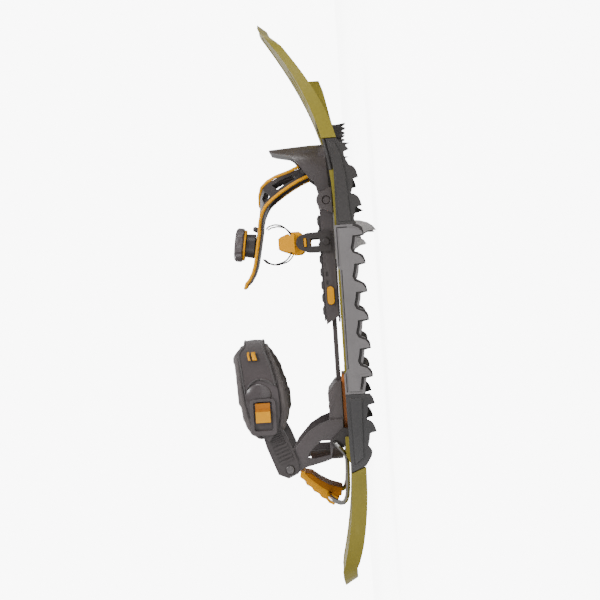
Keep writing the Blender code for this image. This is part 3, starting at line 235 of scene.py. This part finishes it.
def deck_finish(name, colour, light):
    """Translucent-looking olive plastic: flow marks, edges painted pale as a highlight, fine grain, slight
    gloss.
    """
    s = Shader(name, 0.40, gloss=0.22)
    cloud = s.mix(s.spread(s.noise(9, 3), 0.35, 0.65), shade(colour, 0.93), shade(colour, 1.10))
    streaks = s.spread(s.noise(14, 5, s.stretched((1, 7, 7))), 0.56, 0.80, 0, 0.20)
    flow = s.mix(streaks, cloud, shade(light, 0.8))
    # painted highlight: edges turn pale olive as if they caught the light
    s.colour(s.mix(s.edges(0.56, 0.72), flow, light))
    s.rough(s.spread(s.noise(50, 5), 0.3, 0.7, 0.34, 0.50))
    fine = s.bump(s.cells(1500), 0.00005)
    s.bump(s.noise(90, 5, s.stretched((1, 5, 5))), 0.00012, 0.35, fine)
    return s.material


def braided(name, colour):
    """Thin coated steel lace, twisted."""
    s = Shader(name, 0.5)
    twist = s.wave(900, "DIAGONAL")
    s.colour(s.mix(twist, shade(colour, 0.45), shade(colour, 1.1)))
    s.bump(twist, 0.0002, 0.8)
    return s.material


M = {
    "olive": deck_finish("deck_olive_finish", OLIVE, OLIVE_FLOW_AND_HIGHLIGHT),
    "charcoal": moulded("rail_charcoal_finish", CHARCOAL, 0.40),
    "bluish": moulded("rail_rear_finish", BLUISH, 0.40),
    "grey": moulded("rail_grey_finish", GREY, 0.36, wear=1.3),
    "plastic": moulded("binding_plastic_finish", PLASTIC, 0.38, coat=0.12),
    "glossy": moulded("toe_stop_finish", PLASTIC, 0.28, grain=0.00001, coat=0.25),
    "black": moulded("black_plastic_finish", BLACK, 0.44),
    "yellow": moulded("yellow_plastic_finish", YELLOW, 0.42, wear=1.1, gloss=0.18),
    # painted shade: the heel pad's yellow, darkened all over to its shaded orange-brown
    "shaded_heel_pad": moulded("heel_pad_painted_shade", HEEL_PAD_SHADE, 0.40, wear=1.5),
    "brown": moulded("grip_plate_finish", (0.34, 0.120, 0.012), 0.58, wear=1.1, gloss=0.08),
    "knob": moulded("dial_knob_finish", shade(PLASTIC, 1.35), 0.34, coat=0.2),
    # painted shadow: near-black for the lines laid where the rails' raised panels cast shade
    "painted_shadow": moulded("painted_shadow_finish", shade(BLACK, 0.75), 0.6, wear=1.0),
    "tread": tread("tread_rubber_finish", (0.050, 0.045, 0.044)),
    "claw": brushed("claw_steel_finish", (0.52, 0.50, 0.49), 0.30),
    "bright": brushed("bright_steel_finish", (0.40, 0.39, 0.38), 0.24),
    "rivet": brushed("rivet_steel_finish", (0.15, 0.14, 0.14), 0.34),
    # painted shade: a darker copy of the lever's yellow, for its front facet
    "lever_shade": moulded("lever_facet_painted_shade", (0.39, 0.130, 0.006), 0.44, wear=1.2, gloss=0.18),
    "wire": brushed("polished_steel_finish", (0.50, 0.49, 0.475), 0.10, (60, 8, 60)),
    "lace": braided("lace_finish", (0.016, 0.014, 0.014)),
    "fabric": woven("pad_fabric_finish", FABRIC, 0.8),
    "mesh": woven("pad_mesh_finish", MESH, 1.5, 0.00035, 0.8, turn=38),
    "thread": woven("stitch_finish", (0.048, 0.040, 0.041), 0.5, 0.0001, 0.7),
}


# ---------------------------------------------------------------- meshes

def piece(name, mesh, material, body, smooth=40.0):
    """A new object from a bmesh, with smooth faces and sharp edges above an angle."""
    for face in mesh.faces:
        face.smooth = True
    for edge in mesh.edges:
        if len(edge.link_faces) == 2 and edge.calc_face_angle(0) > math.radians(smooth):
            edge.smooth = False
    data = bpy.data.meshes.new(name)
    mesh.to_mesh(data)
    mesh.free()
    data.materials.append(M[material])
    item = bpy.data.objects.new(name, data)
    bpy.context.scene.collection.objects.link(item)
    if body:
        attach(item, body)
    return item


def cad_mesh(node):
    """The node's shape with whole faces instead of loose triangles."""
    mesh = bmesh.new()
    mesh.from_mesh(NODES[node].data)
    bmesh.ops.remove_doubles(mesh, verts=mesh.verts, dist=2e-6)
    bmesh.ops.dissolve_limit(mesh, angle_limit=math.radians(0.6), verts=mesh.verts, edges=mesh.edges)
    bmesh.ops.recalc_face_normals(mesh, faces=mesh.faces)
    return mesh


def refined(node, material, bevel=0.5, segments=2, angle=32.0, smooth=40.0):
    """The node's shape again, with its hard edges rounded."""
    item = piece(node + "_skin", cad_mesh(node), material, BODY[node], smooth)
    if bevel:
        rounding = item.modifiers.new("rounded edges", "BEVEL")
        rounding.width = bevel * MM
        rounding.segments = segments
        rounding.limit_method = "ANGLE"
        rounding.angle_limit = math.radians(angle)
        rounding.use_clamp_overlap = True
        rounding.harden_normals = True
        rounding.miter_outer = "MITER_ARC"
    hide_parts(node)
    return item


FINISHES = {
    "deck_frame": ("olive", 0.6), "tip_keel": ("olive", 0.6),
    "front_rail": ("charcoal", 0.5), "mid_rail": ("grey", 0.5), "rear_rail": ("bluish", 0.5),
    "toe_claw": ("black", 0.4), "pivot_block": ("plastic", 0.8), "pivot_axle": ("plastic", 0.6),
    "heel_pad": ("shaded_heel_pad", 0.3), "lift_bracket": ("black", 0.5), "binding_plate": ("plastic", 0.7),
    "axle_bush": ("black", 0.3), "tread_pad": ("tread", 0.4), "toe_stop": ("glossy", 0.8),
    "crampon": ("claw", 0.3), "crampon_rivet": ("bright", 0.3), "side_lug": ("black", 0.5),
    "lug_rivet": ("black", 0.5), "lace_hook": ("yellow", 0.5), "size_lock_button": ("yellow", 0.5),
    "size_bar": ("plastic", 0.5), "heel_plate": ("plastic", 0.7), "heel_cup": ("plastic", 0.7),
    "ankle_rivet": ("rivet", 0.4), "pad_shell": ("plastic", 0.5), "ladder_strap": ("black", 0.3),
    "strap": ("black", 0.3), "ratchet_frame": ("plastic", 1.8), "lever_pin": ("black", 0.1),
    "ratchet_lever": ("yellow", 0.4), "tongue_strap": ("black", 0.4), "tongue_trim_front": ("yellow", 0),
    "tongue_trim_rear": ("yellow", 0), "tongue_rivet": ("black", 0.3), "lace_guide": ("black", 0.3),
    "dial_base": ("black", 0.4), "lace_spool": ("black", 0.2), "dial_ring": ("yellow", 0.3),
    "dial_knob": ("knob", 0.5), "lift_bail": ("wire", 0), "lift_grip": ("brown", 0.5),
}
SKIN = {}
for node in NODES:
    kind = node.removesuffix("_left").removesuffix("_right")
    if kind in FINISHES:
        SKIN[node] = refined(node, *FINISHES[kind])

# ---------------------------------------------------------------- helpers for new shapes

def along(points, x):
    """The second coordinate of a curve at x; the curve's first coordinate only grows."""
    for a, b in zip(points, points[1:]):
        if a[0] <= x <= b[0]:
            return a[1] + (b[1] - a[1]) * (x - a[0]) / max(b[0] - a[0], 1e-9)
    return points[0][1] if x < points[0][0] else points[-1][1]


def resampled(points, step):
    """The same line with points a step apart."""
    points = [Vector(point) for point in points]
    line, left = [points[0]], step
    for a, b in zip(points, points[1:]):
        span = (b - a).length
        while span >= left:
            a = a + (b - a) * (left / span)
            line.append(a)
            span, left = (b - a).length, step
        left -= span
    return line


def softened(points, turns=2):
    """The line with its corners eased."""
    points = [Vector(point) for point in points]
    for _ in range(turns):
        middle = [(a + 2 * b + c) / 4 for a, b, c in zip(points, points[1:], points[2:])]
        points = [points[0]] + middle + [points[-1]]
    return points


def tube(mesh, path, radius, sides=8, flat=1.0, closed=False):
    """Adds a tube along a path to a bmesh; flat squeezes it across its first normal."""
    rings = []
    up = Vector((0, 0, 1))
    count = len(path)
    for i, point in enumerate(path):
        ahead = path[(i + 1) % count] if closed else path[min(i + 1, count - 1)]
        behind = path[i - 1] if closed or i else path[0]
        run = (ahead - behind).normalized()
        side = run.cross(up)
        if side.length < 1e-4:
            side = run.cross(Vector((1, 0, 0)))
        side.normalize()
        across = side.cross(run).normalized()
        ring = []
        for k in range(sides):
            a = 2 * math.pi * k / sides
            out = side * (math.cos(a) * radius * flat) + across * (math.sin(a) * radius)
            ring.append(mesh.verts.new(point + out))
        rings.append(ring)
    pairs = list(zip(rings, rings[1:])) + ([(rings[-1], rings[0])] if closed else [])
    for near, far in pairs:
        for k in range(sides):
            mesh.faces.new((near[k], near[(k + 1) % sides], far[(k + 1) % sides], far[k]))
    if not closed:
        mesh.faces.new(rings[0][::-1])
        mesh.faces.new(rings[-1])


def extruded(outline, low, high):
    """A solid from an outline in x and z, between two y."""
    mesh = bmesh.new()
    front = [mesh.verts.new((x * MM, low * MM, z * MM)) for x, z in outline]
    back = [mesh.verts.new((x * MM, high * MM, z * MM)) for x, z in outline]
    mesh.faces.new(front)
    mesh.faces.new(back[::-1])
    for a, b, c, d in zip(front, front[1:] + front[:1], back[1:] + back[:1], back):
        mesh.faces.new((a, d, c, b))
    bmesh.ops.recalc_face_normals(mesh, faces=mesh.faces)
    return mesh


def bevelled(item, width, segments=2, angle=35.0):
    """The object with its hard edges rounded by a modifier."""
    rounding = item.modifiers.new("rounded edges", "BEVEL")
    rounding.width, rounding.segments = width * MM, segments
    rounding.limit_method, rounding.angle_limit = "ANGLE", math.radians(angle)
    rounding.harden_normals = True
    return item


SURFACE = {}


def surface(node):
    """The node's shape as a tree for rays, built once."""
    if node not in SURFACE:
        data = NODES[node].data
        points = [vert.co.copy() for vert in data.vertices]
        SURFACE[node] = BVHTree.FromPolygons(points, [tuple(face.vertices) for face in data.polygons])
    return SURFACE[node]


def inlay(name, path, node, side, radius, material, sink=0.2, step=1.2, flat=0.6):
    """A thin bead let into a node's outer face, on a line given in x and z."""
    line = []
    for point in resampled([(x * MM, 0, z * MM) for x, z in path], step * MM):
        hit = surface(node).ray_cast(Vector((point.x, side * 0.3, point.z)), Vector((0, -side, 0)))[0]
        if hit is not None and hit.y * side > 0:
            line.append(hit - Vector((0, side * sink * MM, 0)))
    mesh = bmesh.new()
    tube(mesh, softened(line, 1), radius * MM, 6, flat)
    return piece(name, mesh, material, BODY[node], 60)


# ---------------------------------------------------------------- rails

TEETH_Z, VALLEY_Z, PITCH = 14.0, 24.5, 28.8
FIRST_TOOTH_X, TEETH = 81.0, 6
RELIEF_TOP = VALLEY_Z + 4
SHADOW_LINE_DROP = 1.4                # the painted shadow line runs just outside the raised panel, in the shade of its edge
RELIEF = ((0.05, 0.16), (0.15, 0.63), (0.29, 0.85), (0.42, 0.92), (0.445, 0.19), (0.66, 0.12), (0.89, 0))
# painted shade: dark lines under the middle rail's raised lips, given in x and z
MID_SHADE_LINES = (((77.2, 41.6), (77.2, 30.5)), ((76.5, 41.4), (37.5, 41.4)), ((34, 38.9), (-67, 38.9)),
             ((-71.5, 41.4), (-91, 41.4)))
CREST_Z, CREST_RISE, CREST_CURVE = 41.3, 68.5, 2.1


def relief(start, count):
    """The painted shadow line at the raised panel's edge above the teeth, from the front one back."""
    return [(start - (k + share) * PITCH, RELIEF_TOP - depth * (RELIEF_TOP - TEETH_Z) - SHADOW_LINE_DROP)
            for k in range(count) for share, depth in RELIEF]


def rail_details():
    """Painted shadow lines on the middle rails, along the raised panel's edge and under its lips, and a
    strip along the deck's rising front edge.
    """
    for side, name in ((1, "left"), (-1, "right")):
        teeth = relief(FIRST_TOOTH_X, TEETH)
        inlay("mid_painted_shadow_" + name, teeth, "mid_rail_" + name, side, 1.5, "painted_shadow", flat=0.4)
        for k, line in enumerate(MID_SHADE_LINES):
            inlay("mid_painted_shade_line_%d_%s" % (k, name), line, "mid_rail_" + name, side, 0.55, "painted_shadow", sink=0.1)
        crest = [(x, CREST_Z + CREST_RISE * max(0.0, (x - 100) / 200) ** CREST_CURVE)
                 for x in range(136, 169, 4)]
        inlay("front_crest_" + name, crest, "deck_frame", side, 2.6, "charcoal", sink=0.4, flat=0.35)


rail_details()

# ---------------------------------------------------------------- ankle pad

PAD_LOW = [(-139, 115), (-126, 106.5), (-109, 102.5), (-88, 103.5), (-60, 111), (-48, 117), (-41, 122)]
PAD_HIGH = [(-139, 137), (-131, 146), (-122, 151), (-100, 156.5), (-79, 158.5), (-48, 161), (-44, 157),
            (-41, 153)]
PAD_REAR, PAD_FRONT, PAD_LONG, PAD_HALF = -139.0, -41.0, 46.0, 50.0
PAD_CORE = 4.0                   # depth about which the section thins towards the ends
END_THICK, MORE_THICK = 0.62, 0.38
END_TALL, MORE_TALL = 0.96, 0.12
EDGE_BAND = 0.235                # share of the height that each mesh band takes
STRAP_EDGE, STRAP_FADE = 7.5, 3.0
STRAP_GAP, EDGE_BULGE = 0.4, 4.6
SHELL_OUT = 5.6
FLAP_END, FLAP_BOW = -74.3, 12.5
FLAP_LOW, FLAP_TALL = 0.19, 0.62
FLAP_ROWS, FLAP_COLUMNS, FLAP_RISE = 14, 40, 0.9


def pad_line(offset, step=3.0):
    """The line the pad follows at a distance inside its outer face, from the right end round the front."""
    turn = PAD_FRONT - PAD_LONG
    half, long = PAD_HALF - offset, PAD_LONG - offset
    angles = [math.pi / 2 * i / 24 for i in range(25)]
    bend = [(turn + long * math.sin(a), half * math.cos(a)) for a in angles]
    left = [(PAD_REAR, half)] + bend
    whole = [(x, -y, 0) for x, y in left] + [(x, y, 0) for x, y in left[-2::-1]]
    return resampled(whole, step)


def edge_z(x, share):
    """Height on the pad between its lower edge, 0, and its upper edge, 1."""
    low, high = along(PAD_LOW, x), along(PAD_HIGH, x)
    return low + (high - low) * share


def pad_shape():
    """The pad before it is filled: rolled edges, a thinner middle under the shell."""
    section = ((-2.2, 0.10), (-3.4, 0.16), (-1.0, 0.235), (1.2, 0.30), (1.2, 0.50), (1.2, 0.70),
               (-1.0, 0.765), (-3.4, 0.84), (-2.2, 0.90), (1.5, 0.955), (5.0, 0.955), (7.6, 0.88),
               (8.4, 0.70), (8.6, 0.50), (8.4, 0.30), (7.6, 0.12), (5.0, 0.045), (1.5, 0.045))
    mesh = bmesh.new()
    rings = []
    outer, inner = pad_line(0), pad_line(10)
    for i, point in enumerate(outer):
        share = i / (len(outer) - 1)
        other = inner[round(share * (len(inner) - 1))]
        inward = (other - point).normalized()
        end = min(1.0, min(share, 1 - share) / 0.03)
        ring = []
        for depth, height in section:
            depth = PAD_CORE + (depth - PAD_CORE) * (END_THICK + MORE_THICK * end)
            height = 0.5 + (height - 0.5) * (END_TALL + MORE_TALL * end)
            place = point + inward * depth
            ring.append(mesh.verts.new((place.x * MM, place.y * MM, edge_z(point.x, height) * MM)))
        rings.append(ring)
    count = len(section)
    for near, far in zip(rings, rings[1:]):
        for k in range(count):
            mesh.faces.new((near[k], near[(k + 1) % count], far[(k + 1) % count], far[k]))
    mesh.faces.new(rings[0][::-1])
    mesh.faces.new(rings[-1])
    bmesh.ops.recalc_face_normals(mesh, faces=mesh.faces)
    return mesh


def baked(item):
    """Puts the result of the item's modifiers in its mesh."""
    graph = bpy.context.evaluated_depsgraph_get()
    data = bpy.data.meshes.new_from_object(item.evaluated_get(graph))
    item.modifiers.clear()
    item.data = data


def filled(item, pressure, cap, frames=20):
    """Blows the closed cloth up with a light pressure and keeps each point within a cap of its place."""
    cloth = item.modifiers.new("filling", "CLOTH")
    cloth.settings.quality = 6
    cloth.settings.use_pressure = True
    cloth.settings.uniform_pressure_force = pressure
    cloth.settings.effector_weights.gravity = 0
    before = [vert.co.copy() for vert in item.data.vertices]
    scene = bpy.context.scene
    for step in range(1, frames + 1):
        scene.frame_set(step)
    graph = bpy.context.evaluated_depsgraph_get()
    after = [vert.co.copy() for vert in item.evaluated_get(graph).data.vertices]
    item.modifiers.remove(cloth)
    scene.frame_set(1)
    for vert, old, new in zip(item.data.vertices, before, after):
        move = new - old
        if move.length > cap:
            move *= cap / move.length
        vert.co = old + move


def hold_clear(item):
    """Keeps the pad's outer face off the straps and the shell, where they cover it."""
    turn = PAD_FRONT - PAD_LONG
    for vert in item.data.vertices:
        x, y, z = vert.co / MM
        low, high = along(PAD_LOW, x), along(PAD_HIGH, x)
        cover = min(z - low - STRAP_EDGE, high - STRAP_EDGE - z) / STRAP_FADE
        limit = STRAP_GAP - EDGE_BULGE * min(1.0, max(0.0, 1.0 - cover))
        half, long = PAD_HALF - limit, PAD_LONG - limit
        if x <= turn:
            vert.co.y = math.copysign(min(abs(y), half), y) * MM
        else:
            reach = math.hypot((x - turn) / long, y / half)
            if reach > 1:
                vert.co.x, vert.co.y = (turn + (x - turn) / reach) * MM, y / reach * MM


def ankle_pad():
    """The cushion round the ankle: filled cloth, with mesh bands along both edges."""
    item = piece("ankle_cushion", pad_shape(), "fabric", None, 180)
    remesh = item.modifiers.new("even mesh", "REMESH")
    remesh.mode, remesh.voxel_size = "VOXEL", 0.004
    baked(item)
    filled(item, 4.0, 0.005)
    hold_clear(item)
    ease = item.modifiers.new("finer", "SUBSURF")
    ease.levels = ease.render_levels = 1
    baked(item)
    hold_clear(item)
    item.data.materials.clear()
    item.data.materials.append(M["fabric"])
    item.data.materials.append(M["mesh"])
    for face in item.data.polygons:
        face.use_smooth = True
        x, _, z = face.center / MM
        height = (z - along(PAD_LOW, x)) / (along(PAD_HIGH, x) - along(PAD_LOW, x))
        face.material_index = int(height < EDGE_BAND or height > 1 - EDGE_BAND)
    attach(item, "ankle_strap")
    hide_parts("ankle_pad")


def on_pad(share, depth, skip=0):
    """A line round the pad at a share of its height, proud of its outer face by a negative depth."""
    line = pad_line(depth, 1.5)
    line = line[skip:len(line) - skip]
    return softened([Vector((p.x, p.y, edge_z(p.x, share))) * MM for p in line], 6)


def pad_details():
    """Piping and stitches along both seams of the pad."""
    for label, share in (("lower", 0.222), ("upper", 0.778)):
        mesh = bmesh.new()
        tube(mesh, on_pad(share, -0.2, 3), 1.0 * MM, 8)
        piece("pad_piping_" + label, mesh, "thread", "ankle_strap", 180)
        mesh = bmesh.new()
        stitches = on_pad(share + (0.045 if share > 0.5 else -0.045), -2.9, 6)
        for i in range(0, len(stitches) - 2, 3):
            tube(mesh, stitches[i:i + 3], 0.42 * MM, 6)
        piece("pad_stitches_" + label, mesh, "thread", "ankle_strap", 180)


def flap_line(height, depth, count=FLAP_COLUMNS):
    """One row of the flap: from its curved end on the right side round the front to the left one."""
    away = 2 * height - 1
    end = FLAP_END - FLAP_BOW * away * away * (1.05 if away > 0 else 0.6)
    line = [p for p in pad_line(depth, 0.5) if p.x >= end]
    picked = (line[round(i * (len(line) - 1) / (count - 1))] for i in range(count))
    return [Vector((p.x, p.y, edge_z(p.x, FLAP_LOW + FLAP_TALL * height))) * MM for p in picked]


def sheet(rows):
    """A thin surface through rows of points."""
    mesh = bmesh.new()
    grid = [[mesh.verts.new(point) for point in row] for row in rows]
    for near, far in zip(grid, grid[1:]):
        for a, b, c, d in zip(near, near[1:], far[1:], far):
            mesh.faces.new((a, b, c, d))
    return mesh


def thickened(item, thickness, offset):
    """The surface with a wall of a thickness in millimetres."""
    item.data.update()
    wall = item.modifiers.new("thickness", "SOLIDIFY")
    wall.thickness, wall.offset = thickness * MM, offset
    return item


def dome(name, x, z, long, high, rise, material, side, sides=28, steps=8):
    """A rounded boss on the shell."""
    mesh = bmesh.new()
    rings = []
    for k in range(1, steps + 1):
        r = math.sin(math.pi / 2 * k / steps)
        ring = []
        for i in range(sides):
            a = 2 * math.pi * i / sides
            px, pz = x + long * r * math.cos(a), z + high * r * math.sin(a)
            start = Vector((px * MM, side * 0.2, pz * MM))
            hit = surface("pad_shell").ray_cast(start, Vector((0, -side, 0)))[0]
            base = abs(hit.y) / MM if hit is not None else PAD_HALF + SHELL_OUT
            out = base - 0.4 + rise * math.sqrt(1 - r * r)
            ring.append(mesh.verts.new((px * MM, side * out * MM, pz * MM)))
        rings.append(ring)
    for near, far in zip(rings, rings[1:]):
        for i in range(sides):
            mesh.faces.new((near[i], far[i], far[(i + 1) % sides], near[(i + 1) % sides]))
    mesh.faces.new(rings[0])
    mesh.faces.new(rings[-1][::-1])
    bmesh.ops.recalc_face_normals(mesh, faces=mesh.faces)
    return piece(name, mesh, material, "ankle_strap", 60)


def flap():
    """The flap over the shell, its bound rim, and two plain bars as a label."""
    def lift(height):
        return FLAP_RISE * math.sin(math.pi * height)

    heights = [k / FLAP_ROWS for k in range(FLAP_ROWS + 1)]
    rows = [flap_line(height, -SHELL_OUT - 0.3 - lift(height)) for height in heights]
    item = thickened(piece("pad_flap", sheet(rows), "fabric", "ankle_strap", 180), 2.0, -1.0)
    bevelled(item, 0.7, 3)
    starts, ends = [row[0] for row in rows], [row[-1] for row in rows[::-1]]
    mesh = bmesh.new()
    tube(mesh, starts + rows[-1][1:-1] + ends + rows[0][-2:0:-1], 1.0 * MM, 8, closed=True)
    piece("pad_flap_binding", mesh, "thread", "ankle_strap", 180)
    for label, near, far in (("large", 0.36, 0.52), ("small", 0.60, 0.68)):
        bar = []
        for k in range(5):
            height = near + (far - near) * k / 4
            row = [p for p in flap_line(height, -SHELL_OUT - 2.9 - lift(height), 400) if p.y < 0]
            bar.append([p for p in row if -0.0545 < p.x < -0.0455][::6])
        count = min(len(row) for row in bar)
        bar = [row[:count] for row in bar]
        thickened(piece("pad_label_" + label, sheet(bar), "yellow", "ankle_strap", 180), 0.5, 0.0)


STRAP_LEAN = math.radians(20)
FIRST_RIB, RIB_STEP, RIBS = 0.0285, 0.0021, 7
RIB_HALF, RIB_PART = 5, 0.0014   # a rib has this many parts, this long, on each side of its middle
STRAP_NEAR = -0.04               # what lies further in than this isn't the strap's outer face


def strap_ribs():
    """The fine teeth across the ladder strap, up to the buckle."""
    run = Vector((math.cos(STRAP_LEAN), 0, math.sin(STRAP_LEAN)))
    across = Vector((-math.sin(STRAP_LEAN), 0, math.cos(STRAP_LEAN)))
    low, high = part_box("ankle_rivet_right")
    pivot = (low + high) / 2
    mesh = bmesh.new()
    for k in range(RIBS):
        line = []
        for part in range(-RIB_HALF, RIB_HALF + 1):
            point = pivot + run * (FIRST_RIB + RIB_STEP * k) + across * (RIB_PART * part)
            hit = surface("ladder_strap").ray_cast(Vector((point.x, -0.2, point.z)), Vector((0, 1, 0)))[0]
            if hit is not None and hit.y < STRAP_NEAR:
                line.append(hit)
        if len(line) > 3:
            tube(mesh, line, 0.55 * MM, 6)
    piece("strap_teeth", mesh, "black", "ankle_strap", 60)


ankle_pad()
pad_details()
flap()
strap_ribs()
dome("strap_guide_right", -90, 134, 12, 14, 3.4, "glossy", -1)
dome("strap_guide_left", -90, 134, 12, 14, 3.4, "glossy", 1)


FACET_DEEP = 0.0095


def lever_facets():
    """The lever's front facet gets a darker copy of its yellow, as painted shade for a face turned from
    the light.
    """
    data = SKIN["ratchet_lever"].data
    data.materials.append(M["lever_shade"])
    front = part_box("ratchet_lever")[1].x
    for face in data.polygons:
        if face.center.x > front - FACET_DEEP:
            face.material_index = 1


lever_facets()

# ---------------------------------------------------------------- heel lift's grip

GRIP_RIBS, GRIP_HALF = 5, 22.5


def grip():
    """A ribbed sleeve over the back edge of the lever's plate, with a hooked end."""
    edge = ((-214, 63.5), (-206.5, 72), (-197, 82.5), (-190, 89.5), (-181.5, 96), (-176, 96.5))
    back = resampled([(x, 0, z) for x, z in edge], 1.0)
    outline, inside = [], []
    length = len(back) - 1
    for i, point in enumerate(back):
        run = (back[min(i + 1, length)] - back[max(i - 1, 0)]).normalized()
        out = Vector((-run.z, 0, run.x))
        wave = 0.5 - 0.5 * math.cos(2 * math.pi * GRIP_RIBS * i / length)
        fade = min(1.0, i / 6, (length - i) / 4)
        outline.append(point + out * (0.2 + 1.1 * wave * fade))
        inside.append(point - out * (9.5 - 5.0 * i / length))
    shape = [(p.x, p.z) for p in outline + inside[::-1]]
    sleeve = extruded(shape, -GRIP_HALF, GRIP_HALF)
    bevelled(piece("grip_sleeve", sleeve, "yellow", "heel_lift", 30), 0.8)


grip()

# ---------------------------------------------------------------- laces

LUG_X, LACE_Z, SEAT_R, SEAT_Y = 65.0, 110.2, 22.5, 46.6
LACE_R = 0.80


def laces():
    """The lace loops, held by the tongue above and by the hooks on the binding below."""
    seat = [(LUG_X + SEAT_R * math.cos(a), SEAT_Y, LACE_Z + SEAT_R * math.sin(a))
            for a in (math.radians(322 - 104 * i / 12) for i in range(13))]
    route = [(82.5, 21, 115.5), (84.8, 30, 112.5), (86, 39, 105.5), (84.6, 44.8, 99)] + seat
    route += [(45.6, 44.8, 100.5), (43.8, 39, 109), (46.4, 29, 117), (50.5, 19, 120.8)]
    for side, name in ((1, "left"), (-1, "right")):
        line = [Vector((x, side * y, z)) * MM for x, y, z in route]
        mesh = bmesh.new()
        tube(mesh, softened(resampled(line, 1.5 * MM), 2), LACE_R * MM, 8)
        item = piece("lace_loop_" + name, mesh, "lace", None, 180)
        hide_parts("lace_" + name)
        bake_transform(item)


laces()

# ---------------------------------------------------------------- flange under the plate, ribs by the lift

FLANGES = {
    "front": ([(38.5, 40.6), (92, 39.2), (98.4, 39.2), (98.4, 45.6), (38.5, 45.6)], 46.5),
    "rear": ([(-20, 43.3), (38.5, 43.3), (38.5, 45.4), (-20, 45.4)], 46.5),
    "toe": ([(118, 41), (150, 43.5), (160, 47), (158, 56), (118, 54)], 48.0),
}
FLANGE_WALL = 3.5
LIP = [(-138, 40.0), (-138, 46.6), (-158, 46.6), (-166, 42.5), (-166, 40.0)]
LIP_NEAR, LIP_FAR = 66.6, 69.8


def flange():
    """The lip under the plate and the toe stop, hanging in the deck's opening."""
    for side, name in ((1, "left"), (-1, "right")):
        for part, (outline, y) in FLANGES.items():
            near, far = sorted((side * y, side * (y - FLANGE_WALL)))
            bevelled(piece("flange_" + part + "_" + name, extruded(outline, near, far), "plastic",
                           "binding"), 0.6)


flange()


def heel_lips():
    """A low rib on the deck beside each bracket of the heel lift."""
    for side, name in ((1, "left"), (-1, "right")):
        near, far = sorted((side * LIP_NEAR, side * LIP_FAR))
        bevelled(piece("heel_lip_" + name, extruded(LIP, near, far), "olive", "deck"), 0.6)


heel_lips()

# ---------------------------------------------------------------- light, floor, camera

WORLD_LIGHT, WORLD_SEEN = 0.42, 9.0
FLOOR_Z, FLOOR_HALF, FLOOR_SEEN = -0.0008, 4.0, 7.6


def lamp(name, place, target, size, power):
    light = bpy.data.lights.new(name, "AREA")
    light.shape = "RECTANGLE"
    light.size, light.size_y = size
    light.energy = power
    item = bpy.data.objects.new(name, light)
    bpy.context.scene.collection.objects.link(item)
    item.location = place
    item.rotation_euler = (Vector(target) - Vector(place)).to_track_quat("-Z", "Y").to_euler()


def studio():
    """A white backdrop that lights the object only softly, and four large lamps."""
    world = bpy.data.worlds.new("studio")
    world.use_nodes = True
    tree = world.node_tree
    backdrop = tree.nodes["Background"]
    backdrop.inputs["Color"].default_value = (1.0, 1.0, 1.0, 1.0)
    seen = tree.nodes.new("ShaderNodeMapRange")
    seen.inputs["To Min"].default_value = WORLD_LIGHT
    seen.inputs["To Max"].default_value = WORLD_SEEN
    tree.links.new(tree.nodes.new("ShaderNodeLightPath").outputs["Is Camera Ray"], seen.inputs["Value"])
    tree.links.new(seen.outputs["Result"], backdrop.inputs["Strength"])
    bpy.context.scene.world = world
    lamp("key", (0.8, -1.1, 1.5), (0, 0, 0.05), (0.7, 0.7), 38)
    lamp("fill", (-1.2, -1.6, 0.5), (0, 0, 0.08), (1.2, 0.6), 12)
    lamp("front", (1.6, -0.5, 0.25), (0.1, 0, 0.05), (0.5, 0.4), 6)
    lamp("back", (-0.2, 1.4, 1.2), (0, 0, 0.05), (1.2, 0.8), 14)


def floor():
    """A pale floor just below the claws, as bright as the backdrop."""
    mesh = bmesh.new()
    bmesh.ops.create_grid(mesh, x_segments=8, y_segments=8, size=FLOOR_HALF)
    for vert in mesh.verts:
        vert.co.z = FLOOR_Z
    s = Shader("floor_finish", 0.8)
    s.colour(s.mix(s.spread(s.noise(3, 2), 0.3, 0.7), (0.90, 0.90, 0.90), (0.92, 0.92, 0.92)))
    s.surface.inputs["Emission Color"].default_value = (1.0, 1.0, 1.0, 1.0)
    seen = s.node("ShaderNodeLightPath").outputs["Is Camera Ray"]
    s.link(s.spread(seen, 0, 1, 0, FLOOR_SEEN), s.surface.inputs["Emission Strength"])
    M["floor"] = s.material
    piece("floor", mesh, "floor", None)


def camera():
    """A long lens level with the deck on its right side, turned so that the tip is up."""
    data = bpy.data.cameras.new("camera")
    data.lens, data.sensor_width = 100.7, 36
    data.shift_x, data.shift_y = -0.0667, -0.05
    data.clip_end = 50
    item = bpy.data.objects.new("camera", data)
    bpy.context.scene.collection.objects.link(item)
    lean = math.radians(3.8)
    right = Vector((-math.sin(lean), 0, -math.cos(lean)))
    up = Vector((math.cos(lean), 0, -math.sin(lean)))
    turn = Matrix((right, up, Vector((0, -1, 0)))).transposed().to_4x4()
    item.matrix_world = Matrix.Translation((0.0341, -1.8, 0.0406)) @ turn
    bpy.context.scene.camera = item


studio()
floor()
camera()
